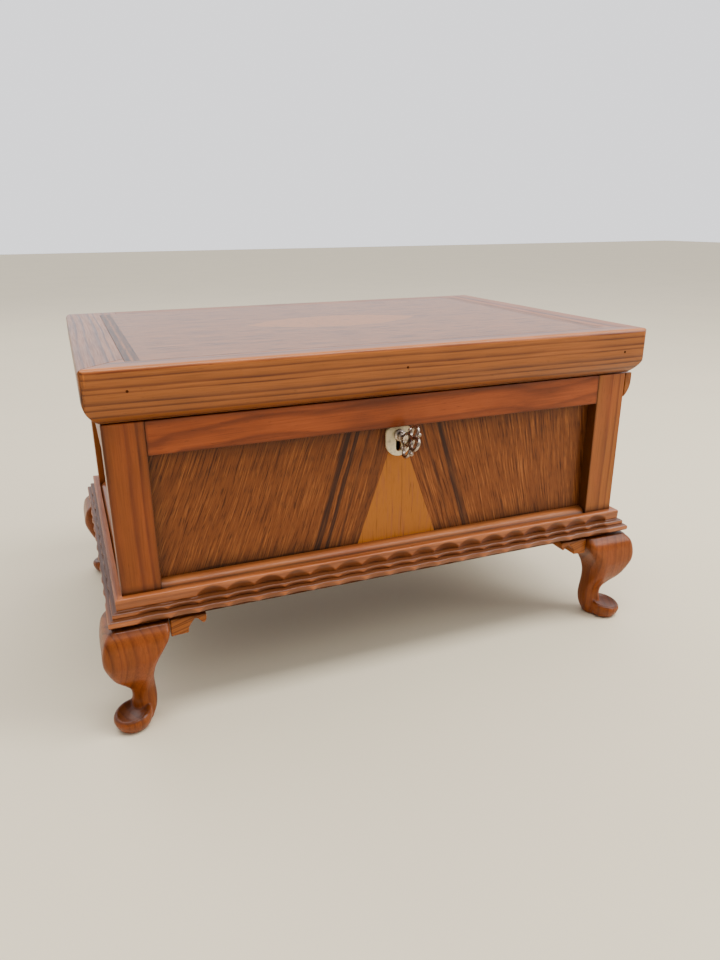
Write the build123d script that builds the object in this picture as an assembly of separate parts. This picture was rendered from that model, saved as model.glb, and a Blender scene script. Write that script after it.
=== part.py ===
from build123d import *
import math
import os

# A small wooden jewelry box on cabriole legs, in millimetres, +Z up.
# X runs along the front, Y from front to back. The box is drawn about the middle of its case,
# and every piece is then moved along Y so that the origin is the middle of the whole footprint.

# Case
case_width = 306.0
case_depth = 197.0
case_height = 104.9
board_thickness = 9.0
post_size = 20.0
post_arris = 1.2
rail_height = 17.5
panel_recess = 7.0
panel_thickness = 7.8
veneer_thickness = 0.8
groove_depth = 4.0
bead_height = 9.5
bead_radius = 6.8

# Strip on the right side, under the lid
strip_height = 15.0
strip_projection = 4.5

# Lid
lid_height = 27.0
lid_side_overhang = 7.0
lid_front_overhang = 7.0
lid_back_overhang = 11.5
lid_gap = 0.6
lid_rail_width = 33.0
lid_panel_thickness = 8.0
lid_panel_bearing = 10.0
lid_corner_radius = 3.5
lid_arris = 2.6
ovolo_inset = 6.8
ovolo_height = 13.2
border_front = 14.0
border_side = 22.0
string_width = 7.0
oval_length = 114.0
oval_width = 50.0

# Base moulding, with heights counted up from its lower edge
moulding_drop = 2.0
moulding_height = 13.4
foot_reed_reach = 8.5
foot_reed_height = 3.9
foot_reed_ease = 1.1
middle_reed_reach = 6.1
middle_reed_height = 6.9
lip_reach = 3.7
reed_ease = 0.5
gouge_radius = 27.0
gouge_pitch = 15.5
gouge_depth = 1.1
plain_end = 12.0

# Cabriole legs, with reaches counted from the outer planes of the knee block
leg_height = 61.0
knee_reach = 8.5
knee_width = 30.0
knee_start_slope = 0.7
knee_bulge = 5.4
knee_bulge_height = 48.0
calf_reach = 1.6
calf_height = 33.0
ankle_setback = 7.4
ankle_height = 20.5
knee_inner = 26.4
calf_inner = 18.6
calf_inner_height = 30.0
ankle_inner = 19.6
ankle_inner_height = 14.0
heel_inner = 15.5
foot_radius = 9.4
foot_sole_radius = 7.0
foot_widest = 6.5
foot_height = 14.0
foot_offset = 6.3
foot_sides = 24
foot_toe_height = 7.8
foot_heel_height = 11.6

# Carved ears beside each knee
ear_length = 19.0
ear_height = 10.0
ear_thickness = 11.0
ear_setback = 2.5
ear_tip_drop = 5.4

# Lock and key
lock_x = 3.0
key_drop = 23.6
keyhole_radius = 2.9
slot_width = 3.4
slot_length = 9.7
shield_width = 15.7
shield_rise = 4.6
shield_fall = 12.3
shield_corner = 3.6
shield_thickness = 1.6
plate_thickness = 1.0
plate_half_width = 28.0
selvedge_thickness = 1.2
selvedge_lap = 4.3
lock_half_width = 20.8
lock_depth = 10.0
lock_wall = 0.8
lock_below_key = 10.5
barrel_radius = 2.2
drill_pin_radius = 1.1
drill_pin_length = 11.0
running_clearance = 0.05
bit_radius = 8.6
bit_thickness = 2.6
bit_width = 4.8
key_rest_angle = 24.0
key_thrown_angle = -22.0
bolt_thickness = 2.0
bolt_bar_height = 7.5
bolt_above_key = 7.5
bolt_setback = 3.7
bolt_end_wall = 1.5
talon_half_width = 1.85
talon_depth = 1.5
prong_height = 2.6
prong_arm_width = 3.0
stump_radius = 1.2
stump_spots = (-8.0, 9.0)
stump_above_key = 11.4
stump_proud = 0.5
slide_clearance = 0.25
bow_reach = 15.0
bow_thickness = 2.2
bow_hole_radius = 2.6
bow_hole_offset = 5.2
bow_wall = 1.8
bow_disc_radius = 6.8
bow_bead_radius = 1.25
bow_bead_offset = 8.8
bow_bead_sides = 8
key_end_gap = 0.4
collar_radius = 3.5
collar_width = 1.2
collar_gap = 0.4
ring_radius = 3.0
ring_width = 1.4
ring_gap = 4.4

# Keeper on the lid
staple_spots = (-8.0, 8.0)
staple_thickness = 2.0
staple_depth = 5.0
staple_length = 8.5
staple_rim = 1.2
staple_foot = 1.3
staple_clearance = 0.5
keeper_half_width = 17.0
keeper_depth = 11.0
keeper_thickness = 1.2

# Hinges
hinge_inset = 53.0
hinge_length = 30.0
hinge_leaf_depth = 11.0
hinge_leaf_thickness = 0.9
knuckle_radius = 1.9
knuckle_gap = 0.15
knuckle_offset = 0.1
knuckle_clearance = 0.4
hinge_pin_radius = 0.9

# Screws
screw_radius = 1.8
screw_sides = 8
screw_length = 5.0
screw_offset = 8.0
screw_margin = 1.3

# Linings
floor_pad_height = 5.0
floor_pad_gap = 0.5
wall_lining_drop = 3.0
lid_lining_thickness = 5.0
lining_gap = 0.3

# Places worked out from the sizes above
half_width = case_width / 2
half_depth = case_depth / 2
hinge_spacing = case_width - 2 * hinge_inset
board_top = leg_height + board_thickness
case_top = leg_height + case_height
lid_bottom = case_top + lid_gap
lid_top = lid_bottom + lid_height
lid_front = -half_depth - lid_front_overhang
lid_back = half_depth + lid_back_overhang
lid_depth = lid_back - lid_front
lid_half_width = half_width + lid_side_overhang
rail_bottom = case_top - rail_height
rail_thickness = panel_recess + panel_thickness
post_inner_x = half_width - post_size
post_inner_y = half_depth - post_size
panel_face = -half_depth + panel_recess
core_face = panel_face + veneer_thickness
inner_face = -half_depth + rail_thickness
bead_top = board_top + bead_height
moulding_bottom = leg_height + moulding_drop
knee_x = half_width + knee_reach
knee_y = half_depth + knee_reach

wedge_base_half_width = 24.6
wedge_slope = wedge_base_half_width / (rail_bottom - bead_top)

key_z = case_top - key_drop
shield_face = panel_face - shield_thickness
plate_inner = inner_face + plate_thickness
lock_back = inner_face + lock_depth
lock_back_inner = lock_back - lock_wall
selvedge_bottom = case_top - selvedge_thickness
bolt_front = inner_face + bolt_setback
bolt_bottom = key_z + bolt_above_key
drive_per_radian = (
    bit_radius
    * (math.sin(math.radians(key_rest_angle)) - math.sin(math.radians(key_thrown_angle)))
    / math.radians(key_rest_angle - key_thrown_angle)
)
bolt_throw = drive_per_radian * math.radians(key_rest_angle - key_thrown_angle)
talon_x = lock_x + drive_per_radian * math.radians(key_rest_angle)
staple_y = bolt_front + bolt_thickness / 2
staple_bottom = lid_bottom - staple_length
eye_bottom = staple_bottom + staple_foot
prong_bottom = eye_bottom + staple_clearance
bow_y = shield_face - bow_reach
bow_radius = bow_hole_offset + bow_hole_radius + bow_wall

hinge_y = half_depth + knuckle_radius + knuckle_offset
hinge_z = case_top + lid_gap / 2
hinge_spots = (-hinge_spacing / 2, hinge_spacing / 2)

front_reach = -bow_y + bow_radius
back_reach = knee_y + knee_bulge
frame_shift = (front_reach - back_reach) / 2


def block(x0, x1, y0, y1, z0, z1):
    """A box between two corners."""
    centre = Pos((x0 + x1) / 2, (y0 + y1) / 2, (z0 + z1) / 2)
    return centre * Box(abs(x1 - x0), abs(y1 - y0), abs(z1 - z0))


def rod(radius, start, end):
    """A round bar between two points."""
    axis = Vector(*end) - Vector(*start)
    return extrude(Plane(origin=start, z_dir=axis) * Circle(radius), amount=axis.length)


def plate_xz(outline, y0, y1):
    """A flat piece whose outline lies in X and Z, from y0 back to y1."""
    face = make_face(outline)
    return Pos(0, y1, 0) * extrude(Plane.XZ * face, amount=y1 - y0)


def mirrored_x(shape):
    """The same piece on the other side of the box."""
    return mirror(shape, about=Plane.YZ)


def mirrored_y(shape):
    """The same piece at the other end of the depth."""
    return mirror(shape, about=Plane.XZ)


def save(name, shape):
    """Writes one named piece, moved into the frame of the whole box."""
    piece = Pos(0, frame_shift, 0) * shape
    piece.label = name
    export_step(piece, f"parts/{name}.step")


# Screws, drawn as eight-sided pegs with their face at the given point


def screw(x, y, z, direction):
    """A screw that runs in the given direction; its head and slot are left to the looks."""
    plane = Plane(origin=(x, y, z), z_dir=direction)
    return extrude(plane * RegularPolygon(screw_radius, screw_sides), amount=screw_length)


def hinge_screws(z, direction):
    """Two screws for the leaf of each hinge."""
    y = half_depth - hinge_leaf_depth / 2
    return [
        screw(x + side * screw_offset, y, z, direction)
        for x in hinge_spots
        for side in (-1, 1)
    ]


def lock_screws():
    """Four screws through the ears of the lock's plate."""
    edge = plate_half_width - screw_radius - screw_margin
    low = key_z - lock_below_key + screw_radius + screw_margin
    high = (rail_bottom + case_top) / 2
    return [
        screw(lock_x + side * edge, plate_inner, z, (0, -1, 0))
        for side in (-1, 1)
        for z in (low, high)
    ]


def keeper_screws():
    """Two screws through the keeper into the lid."""
    edge = keeper_half_width - screw_radius - screw_margin
    return [screw(lock_x + side * edge, staple_y, lid_bottom, (0, 0, 1)) for side in (-1, 1)]


# Case: posts, rails, panels and beads


def post(front):
    """The left front or left back post, grooved for the panels beside it."""
    bar = block(-half_width, -post_inner_x, -half_depth, -post_inner_y, board_top, case_top)
    arris = bar.edges().filter_by(Axis.Z).sort_by(lambda e: e.center().X + e.center().Y)[0]
    bar = fillet(arris, post_arris)
    skin = veneer_thickness if front else 0
    across = block(
        -post_inner_x - groove_depth,
        -post_inner_x,
        panel_face + skin,
        inner_face,
        board_top,
        case_top,
    )
    along = block(
        -half_width + panel_recess,
        -half_width + rail_thickness,
        -post_inner_y - groove_depth,
        -post_inner_y,
        board_top,
        case_top,
    )
    upper = block(-half_width, 0, -half_depth, 0, rail_bottom + groove_depth, case_top)
    return bar - (across - upper) - (along - upper)


def front_rail():
    """Top rail of the front, grooved for the panel and let in for the lock's selvedge."""
    rail = block(-post_inner_x, post_inner_x, -half_depth, inner_face, rail_bottom, case_top)
    groove = block(
        -post_inner_x, post_inner_x, core_face, inner_face, rail_bottom, rail_bottom + groove_depth
    )
    selvedge_bed = block(
        lock_x - plate_half_width,
        lock_x + plate_half_width,
        inner_face - selvedge_lap,
        inner_face,
        selvedge_bottom,
        case_top,
    )
    return rail - groove - selvedge_bed - lock_screws()


def back_rail():
    """Top rail of the back, grooved for the panel and let in for the hinge leaves."""
    rail = block(
        -post_inner_x, post_inner_x, half_depth - rail_thickness, half_depth, rail_bottom, case_top
    )
    groove = block(
        -post_inner_x,
        post_inner_x,
        half_depth - rail_thickness,
        half_depth - panel_recess,
        rail_bottom,
        rail_bottom + groove_depth,
    )
    rail = rail - groove - hinge_screws(case_top, (0, 0, -1))
    for x in hinge_spots:
        rail -= block(
            x - hinge_length / 2,
            x + hinge_length / 2,
            half_depth - hinge_leaf_depth,
            half_depth,
            case_top - hinge_leaf_thickness,
            case_top,
        )
    return rail


def side_rail():
    """Top rail of the left side."""
    rail = block(
        -half_width,
        -half_width + rail_thickness,
        -post_inner_y,
        post_inner_y,
        rail_bottom,
        case_top,
    )
    groove = block(
        -half_width + panel_recess,
        -half_width + rail_thickness,
        -post_inner_y,
        post_inner_y,
        rail_bottom,
        rail_bottom + groove_depth,
    )
    return rail - groove


def keyhole(y0, y1):
    """Round hole with a slot below it, through everything between y0 and y1."""
    hole = rod(keyhole_radius, (lock_x, y0, key_z), (lock_x, y1, key_z))
    end_z = key_z - slot_length + slot_width / 2
    slot = block(lock_x - slot_width / 2, lock_x + slot_width / 2, y0, y1, end_z, key_z)
    return hole + slot + rod(slot_width / 2, (lock_x, y0, end_z), (lock_x, y1, end_z))


def front_panel():
    """Core of the front panel, under the veneers."""
    reach = post_inner_x + groove_depth
    core = block(-reach, reach, core_face, inner_face, board_top, rail_bottom + groove_depth)
    return core - keyhole(core_face - 1, inner_face + 1) - lock_screws()


def back_panel():
    """Back panel."""
    reach = post_inner_x + groove_depth
    near = half_depth - rail_thickness
    far = half_depth - panel_recess
    return block(-reach, reach, near, far, board_top, rail_bottom + groove_depth)


def side_panel():
    """Panel of the left side."""
    reach = post_inner_y + groove_depth
    near = -half_width + panel_recess
    far = -half_width + rail_thickness
    return block(near, far, -reach, reach, board_top, rail_bottom + groove_depth)


def wedge_half_width(z):
    """Half the width of the light wedge at a height; it comes to a point under the rail."""
    return wedge_slope * (rail_bottom - z)


def front_veneers():
    """Left sheet, right sheet and the light wedge between them."""
    low = wedge_half_width(board_top)
    high = wedge_half_width(key_z)
    wedge_line = Polyline(
        (lock_x - low, board_top),
        (lock_x - high, key_z),
        (lock_x + high, key_z),
        (lock_x + low, board_top),
        close=True,
    )
    wedge = plate_xz(wedge_line, panel_face, core_face)
    hole = keyhole(panel_face - 1, core_face + 1)
    left = block(-post_inner_x, lock_x, panel_face, core_face, board_top, rail_bottom)
    right = block(lock_x, post_inner_x, panel_face, core_face, board_top, rail_bottom)
    return left - wedge - hole, right - wedge - hole, wedge - hole


def bead_face():
    """Section of the bead in (outward, up), with its back at the panel and its top rounded."""
    back = panel_recess
    shoulder = bead_top - bead_radius
    nose = back - bead_radius
    outline = Curve() + [
        Line((back, board_top), (0, board_top)),
        Line((0, board_top), (0, shoulder)),
        Line((0, shoulder), (nose, shoulder)),
        RadiusArc((nose, shoulder), (back, bead_top), bead_radius),
        Line((back, bead_top), (back, board_top)),
    ]
    return make_face(outline)


def front_bead():
    """Bead at the foot of the front panel."""
    bar = extrude(Plane.YZ * bead_face(), amount=post_inner_x, both=True)
    return Pos(0, -half_depth, 0) * bar


def side_bead():
    """Bead at the foot of the left panel."""
    bar = extrude(Plane.XZ * bead_face(), amount=post_inner_y, both=True)
    return Pos(-half_width, 0, 0) * bar


def side_strip():
    """Ovolo strip on the right side, close under the lid."""
    edge = half_width + strip_projection
    turn = case_top - strip_height / 3
    outline = Curve() + [
        Line((half_width, case_top - strip_height), (half_width, case_top)),
        Line((half_width, case_top), (edge, case_top)),
        Line((edge, case_top), (edge, turn)),
        TangentArc((edge, turn), (half_width, case_top - strip_height), tangent=(0, -1)),
    ]
    return extrude(Plane.XZ * make_face(outline), amount=half_depth, both=True)


# Base: bottom board, mitred mouldings, legs and ears


def bottom_board():
    """Board under the case, on the four knees."""
    return block(-half_width, half_width, -half_depth, half_depth, leg_height, board_top)


def moulding_face():
    """Stepped section of the base moulding in (outward, up from its lower edge)."""
    outline = Polyline(
        (0, 0),
        (foot_reed_reach - foot_reed_ease, 0),
        (foot_reed_reach, foot_reed_ease),
        (foot_reed_reach, foot_reed_height - foot_reed_ease),
        (foot_reed_reach - foot_reed_ease, foot_reed_height),
        (middle_reed_reach, foot_reed_height),
        (middle_reed_reach, middle_reed_height - reed_ease),
        (middle_reed_reach - reed_ease, middle_reed_height),
        (lip_reach, middle_reed_height),
        (lip_reach, moulding_height - reed_ease),
        (lip_reach - reed_ease, moulding_height),
        (0, moulding_height),
        close=True,
    )
    return make_face(outline)


def gouge_cuts(length, reach, low, high):
    """A row of gouge cuts along X in the face of a reed.

    Each cut starts at nothing at the height high, and leaves an arch on the face as it runs
    down and in to the ledge at the height low."""
    drop = Vector(0, gouge_depth, low - high)
    along = drop.normalized()
    outward = Vector(0, along.Z, -along.Y)
    spare = gouge_radius / 5
    start = Vector(0, -reach, high) + outward * gouge_radius
    cutter = rod(gouge_radius, tuple(start - along * spare), tuple(start + drop + along * spare))
    slab = block(-gouge_pitch, gouge_pitch, -2 * reach, 0, low, high)
    count = int((length - 2 * plain_end) / gouge_pitch)
    first = -(count - 1) * gouge_pitch / 2
    return [Pos(first + i * gouge_pitch, 0, 0) * (cutter & slab) for i in range(count)]


def base_moulding(length, depth, carved):
    """One side of the base moulding along X, mitred at both ends, with its back at Y = 0."""
    reach = foot_reed_reach + 1
    bar = extrude(Plane.YZ * moulding_face(), amount=length / 2 + reach, both=True)
    bar = mirror(bar, about=Plane.XZ)
    plan = Polyline(
        (-length / 2, 0),
        (length / 2, 0),
        (length / 2 + reach, -reach),
        (-length / 2 - reach, -reach),
        close=True,
    )
    bar = bar & extrude(make_face(plan), amount=moulding_height)
    if carved:
        top = moulding_height - 2 * reed_ease
        bar = bar - gouge_cuts(length, lip_reach, middle_reed_height, top)
        top = middle_reed_height - reed_ease
        bar = bar - gouge_cuts(length, middle_reed_reach, foot_reed_height, top)
    return Pos(0, -depth / 2, moulding_bottom) * bar


def tangent_chain(start, direction, points):
    """Arcs from point to point, each of them tangent to the one before."""
    arcs = []
    for point in points:
        arc = TangentArc(start, point, tangent=direction)
        arcs.append(arc)
        start = point
        direction = arc % 1
    return arcs


def leg_face():
    """Sawn outline of a leg in (inward from the knee's outer plane, up), from knee to heel."""
    outer = tangent_chain(
        (0, leg_height),
        (-knee_start_slope, -1),
        [
            (-knee_bulge, knee_bulge_height),
            (-calf_reach, calf_height),
            (ankle_setback, ankle_height),
        ],
    )
    inner = tangent_chain(
        (knee_width, leg_height),
        (0, -1),
        [
            (knee_inner, knee_bulge_height),
            (calf_inner, calf_inner_height),
            (ankle_inner, ankle_inner_height),
            (heel_inner, 0),
        ],
    )
    ends = [
        Line((0, leg_height), (knee_width, leg_height)),
        Line((ankle_setback, ankle_height), (ankle_setback, 0)),
        Line((ankle_setback, 0), (heel_inner, 0)),
    ]
    return make_face(Curve() + outer + inner + ends)


def leg_foot():
    """Pad foot of the left front leg, cut off aslant so that it is lower at the toe."""
    sole = RegularPolygon(foot_sole_radius, foot_sides)
    widest = Plane.XY.offset(foot_widest) * RegularPolygon(foot_radius, foot_sides)
    pad = loft([sole, widest], ruled=True)
    pad += extrude(widest, amount=foot_height - foot_widest)
    slope = math.degrees(math.atan2(foot_heel_height - foot_toe_height, 2 * foot_radius))
    waste = Pos(0, 0, foot_height) * Box(4 * foot_radius, 4 * foot_radius, 2 * foot_height)
    middle = (foot_heel_height + foot_toe_height) / 2
    waste = Pos(0, 0, middle) * Rot(0, 0, 45) * Rot(0, -slope, 0) * waste
    return Pos(-knee_x + foot_offset, -knee_y + foot_offset, 0) * (pad - waste)


def leg():
    """Left front cabriole leg: one outline sawn on both faces, with a round pad foot."""
    face = leg_face()
    blank = 2 * knee_width
    along_y = extrude(Plane.XZ * face, amount=blank, both=True)
    along_x = extrude(Plane.YZ * face, amount=blank, both=True)
    stem = Pos(-knee_x, -knee_y, 0) * (along_y & along_x)
    return stem + leg_foot()


def ear_outline():
    """Outline of a carved ear in (away from the knee, up), with its top at zero."""
    step = ear_length * 0.5
    return Polyline(
        (0, 0),
        (ear_length, 0),
        (ear_length, -ear_tip_drop * 0.6),
        (ear_length - 1.3, -ear_tip_drop),
        (ear_length - 2.6, -ear_tip_drop * 0.9),
        (ear_length - 4.2, -ear_tip_drop * 0.5),
        (ear_length - 6.0, -ear_tip_drop * 0.3),
        (step + 1.2, -ear_height * 0.45),
        (step, -ear_height * 0.65),
        (step - 0.4, -ear_height * 0.95),
        (0, -ear_height),
        close=True,
    )


def ears(knee):
    """The two ears of the left front leg, one along the front and one along the side."""
    face = make_face(ear_outline())
    along_front = extrude(Plane.XZ * face, amount=-ear_thickness)
    along_front = Pos(-knee_x + knee_width, -knee_y + ear_setback, leg_height) * along_front
    along_side = extrude(Plane.YZ * face, amount=ear_thickness)
    along_side = Pos(-knee_x + ear_setback, -knee_y + knee_width, leg_height) * along_side
    return Compound([along_front - knee, along_side - knee])


# Lid


def lid_rail_face():
    """Section of the lid's rails in (inward, up from the underside)."""
    outline = Curve() + [
        Line((ovolo_inset, 0), (lid_rail_width, 0)),
        Line((lid_rail_width, 0), (lid_rail_width, lid_height)),
        Line((lid_rail_width, lid_height), (lid_arris, lid_height)),
        RadiusArc((lid_arris, lid_height), (0, lid_height - lid_arris), -lid_arris),
        Line((0, lid_height - lid_arris), (0, ovolo_height)),
        TangentArc((0, ovolo_height), (ovolo_inset, 0), tangent=(0, -1)),
    ]
    return make_face(outline)


def lid_outline():
    """The lid's whole block, with its upright corners rounded."""
    plan = RectangleRounded(2 * lid_half_width, lid_depth, lid_corner_radius)
    solid = extrude(plan, amount=lid_height)
    return Pos(0, (lid_front + lid_back) / 2, lid_bottom) * solid


def veneer_bed():
    """The space that the veneers of the lid fill."""
    reach = lid_half_width - border_side
    return block(
        -reach,
        reach,
        lid_front + border_front,
        lid_back - border_front,
        lid_top - veneer_thickness,
        lid_top,
    )


def lid_panel_block():
    """The lid's panel, which bears on a rebate in the rails."""
    reach = lid_half_width - lid_rail_width + lid_panel_bearing
    top = lid_top - veneer_thickness
    front = lid_front + lid_rail_width - lid_panel_bearing
    back = lid_back - lid_rail_width + lid_panel_bearing
    return block(-reach, reach, front, back, top - lid_panel_thickness, top)


def lid_front_rail():
    """Front rail of the lid, mitred at both ends and let in for the keeper."""
    bar = extrude(Plane.YZ * lid_rail_face(), amount=lid_half_width, both=True)
    bar = Pos(0, lid_front, lid_bottom) * bar
    inner = lid_half_width - lid_rail_width
    plan = Polyline(
        (-lid_half_width, lid_front),
        (lid_half_width, lid_front),
        (inner, lid_front + lid_rail_width),
        (-inner, lid_front + lid_rail_width),
        close=True,
    )
    bar = bar & (Pos(0, 0, lid_bottom) * extrude(make_face(plan), amount=lid_height))
    bar = bar & lid_outline()
    return bar - veneer_bed() - lid_panel_block() - keeper_leaf() - keeper_screws()


def lid_side_rail():
    """Left rail of the lid, mitred at the front and square at the back."""
    bar = extrude(Plane.XZ * lid_rail_face(), amount=lid_depth)
    bar = Pos(-lid_half_width, lid_back, lid_bottom) * bar
    plan = Polyline(
        (-lid_half_width, lid_front),
        (-lid_half_width + lid_rail_width, lid_front + lid_rail_width),
        (-lid_half_width + lid_rail_width, lid_back),
        (-lid_half_width, lid_back),
        close=True,
    )
    bar = bar & (Pos(0, 0, lid_bottom) * extrude(make_face(plan), amount=lid_height))
    return (bar & lid_outline()) - veneer_bed() - lid_panel_block()


def lid_back_rail():
    """Back rail of the lid, between the side rails, let in for hinge leaves and knuckles."""
    inner = lid_half_width - lid_rail_width
    bar = block(-inner, inner, lid_back - lid_rail_width, lid_back, lid_bottom, lid_top)
    bar = bar - veneer_bed() - lid_panel_block() - hinge_screws(lid_bottom, (0, 0, 1))
    for x in hinge_spots:
        end = hinge_length / 2 + knuckle_clearance
        bar -= block(
            x - hinge_length / 2,
            x + hinge_length / 2,
            half_depth - hinge_leaf_depth,
            hinge_y,
            lid_bottom,
            lid_bottom + hinge_leaf_thickness,
        )
        radius = knuckle_radius + knuckle_clearance
        bar -= rod(radius, (x - end, hinge_y, hinge_z), (x + end, hinge_y, hinge_z))
    return bar


def oval_face():
    """Pointed oval of the inlay: two arcs that meet at the left and right."""
    half = oval_length / 2
    rise = oval_width / 2
    return make_face(
        Curve()
        + [
            ThreePointArc((-half, 0), (0, rise), (half, 0)),
            ThreePointArc((half, 0), (0, -rise), (-half, 0)),
        ]
    )


def lid_veneers():
    """Field with the hole for the inlay, the two dark strings and the inlay."""
    low = lid_top - veneer_thickness
    front = lid_front + border_front
    back = lid_back - border_front
    outer = lid_half_width - border_side
    inner = outer - string_width
    inlay = extrude(oval_face(), amount=veneer_thickness)
    inlay = Pos(0, (lid_front + lid_back) / 2, low) * inlay
    field = block(-inner, inner, front, back, low, lid_top) - inlay
    left = block(-outer, -inner, front, back, low, lid_top)
    right = block(inner, outer, front, back, low, lid_top)
    return field, Compound([left, right]), inlay


# Lock, key and keeper


def escutcheon():
    """Ivory-coloured shield with the keyhole."""
    half = shield_width / 2
    corner = shield_corner
    top = key_z + shield_rise
    bottom = key_z - shield_fall
    waist = bottom + half
    outline = Curve() + [
        Line((lock_x - half + corner, top), (lock_x + half - corner, top)),
        RadiusArc((lock_x + half - corner, top), (lock_x + half, top - corner), corner),
        Line((lock_x + half, top - corner), (lock_x + half, waist)),
        ThreePointArc((lock_x + half, waist), (lock_x, bottom), (lock_x - half, waist)),
        Line((lock_x - half, waist), (lock_x - half, top - corner)),
        RadiusArc((lock_x - half, top - corner), (lock_x - half + corner, top), corner),
    ]
    plate = plate_xz(outline, shield_face, panel_face)
    return plate - keyhole(shield_face - 1, panel_face + 1)


def lock_plate():
    """Plate against the panel, with the selvedge that shows on top of the rail."""
    low = key_z - lock_below_key - lock_wall
    left = lock_x - plate_half_width
    right = lock_x + plate_half_width
    upright = block(left, right, inner_face, plate_inner, low, selvedge_bottom)
    selvedge = block(
        left, right, inner_face - selvedge_lap, lock_back, selvedge_bottom, case_top
    )
    plate = upright + selvedge
    for spot in staple_spots:
        half = staple_thickness / 2 + staple_clearance
        deep = staple_depth / 2 + staple_clearance
        x = lock_x + spot
        plate -= block(x - half, x + half, staple_y - deep, staple_y + deep, selvedge_bottom, case_top)
    return plate - keyhole(inner_face - 1, plate_inner + 1) - lock_screws()


def lock_case():
    """Cover of the lock, open towards the plate."""
    low = key_z - lock_below_key - lock_wall
    shell = block(
        lock_x - lock_half_width, lock_x + lock_half_width, plate_inner, lock_back, low, selvedge_bottom
    )
    inner_half = lock_half_width - lock_wall
    return shell - block(
        lock_x - inner_half,
        lock_x + inner_half,
        plate_inner,
        lock_back_inner,
        low + lock_wall,
        selvedge_bottom,
    )


def lock_pins():
    """Drill pin that centres the key, and the two stumps that the bolt slides on."""
    drill = rod(
        drill_pin_radius,
        (lock_x, lock_back_inner, key_z),
        (lock_x, lock_back_inner - drill_pin_length, key_z),
    )
    z = key_z + stump_above_key
    stumps = [
        rod(
            stump_radius,
            (lock_x + spot, lock_back_inner, z),
            (lock_x + spot, bolt_front - stump_proud, z),
        )
        for spot in stump_spots
    ]
    return Compound([drill] + stumps)


def lock_bolt():
    """Sliding bolt at rest: a bar with the talon below and two prongs above."""
    far_prong = staple_spots[-1] + staple_thickness / 2 + bolt_throw + staple_clearance
    left = lock_x + stump_spots[0] - stump_radius - slide_clearance - bolt_end_wall
    right = lock_x + far_prong + prong_arm_width
    back = bolt_front + bolt_thickness
    bar_top = bolt_bottom + bolt_bar_height
    bolt = block(left, right, bolt_front, back, bolt_bottom, bar_top)
    for spot in staple_spots:
        tip = lock_x + spot + staple_thickness / 2 + staple_clearance
        arm = lock_x + spot + staple_thickness / 2 + bolt_throw + staple_clearance
        prong_top = prong_bottom + prong_height
        bolt += block(arm, arm + prong_arm_width, bolt_front, back, bolt_bottom, prong_top)
        bolt += block(tip, arm, bolt_front, back, prong_bottom, prong_top)
    z = key_z + stump_above_key
    radius = stump_radius + slide_clearance
    for spot in stump_spots:
        start = lock_x + spot
        end = start + bolt_throw
        bolt -= block(start, end, bolt_front, back, z - radius, z + radius)
        bolt -= rod(radius, (start, bolt_front, z), (start, back, z))
        bolt -= rod(radius, (end, bolt_front, z), (end, back, z))
    return bolt - block(
        talon_x - talon_half_width,
        talon_x + talon_half_width,
        bolt_front,
        back,
        bolt_bottom,
        bolt_bottom + talon_depth,
    )


def key():
    """Key with a hollow barrel, a bit and a pierced four-lobed bow, turned to where it rests."""
    end = lock_back_inner - key_end_gap
    neck = bow_y + bow_radius - bow_wall
    shank = rod(barrel_radius, (0, end, 0), (0, neck, 0))
    collar_back = shield_face - collar_gap
    shank += rod(collar_radius, (0, collar_back, 0), (0, collar_back - collar_width, 0))
    ring_back = shield_face - ring_gap
    shank += rod(ring_radius, (0, ring_back, 0), (0, ring_back - ring_width, 0))
    bit_back = bolt_front + bolt_thickness / 2 + bit_width / 2
    shank += block(
        -bit_thickness / 2,
        bit_thickness / 2,
        bit_back - bit_width,
        bit_back,
        0,
        bit_radius,
    )
    bore = drill_pin_radius + running_clearance
    bore_end = lock_back_inner - drill_pin_length - 1
    shank -= rod(bore, (0, end, 0), (0, bore_end, 0))
    bow = Circle(bow_disc_radius)
    for quarter in range(4):
        place = Rot(0, 0, 90 * quarter) * Pos(bow_hole_offset, 0)
        bow += place * Circle(bow_hole_radius + bow_wall)
    for quarter in range(4):
        place = Rot(0, 0, 90 * quarter) * Pos(bow_hole_offset, 0)
        bow -= place * Circle(bow_hole_radius)
    for quarter in range(4):
        place = Rot(0, 0, 90 * quarter + 45)
        neck = (bow_hole_offset + bow_bead_offset) / 2
        bow += place * Pos(neck, 0) * Rectangle(bow_bead_offset - bow_hole_offset, bow_bead_radius)
        bow += place * Pos(bow_bead_offset, 0) * RegularPolygon(bow_bead_radius, bow_bead_sides)
    bow = extrude(Plane.YZ * bow, amount=bow_thickness / 2, both=True)
    whole = shank + Pos(0, bow_y, 0) * bow
    return Pos(lock_x, 0, key_z) * Rot(0, key_rest_angle, 0) * whole


def keeper_leaf():
    """Leaf of the keeper, let into the underside of the lid's front rail."""
    half = keeper_depth / 2
    return block(
        lock_x - keeper_half_width,
        lock_x + keeper_half_width,
        staple_y - half,
        staple_y + half,
        lid_bottom,
        lid_bottom + keeper_thickness,
    )


def keeper_plate():
    """Keeper with its two eyed staples."""
    plate = keeper_leaf() - keeper_screws()
    eye_top = prong_bottom + prong_height + staple_clearance
    for spot in staple_spots:
        x0 = lock_x + spot - staple_thickness / 2
        x1 = lock_x + spot + staple_thickness / 2
        near = staple_y - staple_depth / 2
        far = staple_y + staple_depth / 2
        staple = block(x0, x1, near, far, staple_bottom, lid_bottom)
        eye = block(x0, x1, near + staple_rim, far - staple_rim, eye_bottom, eye_top)
        plate += staple - eye
    return plate


# Hinges


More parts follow.
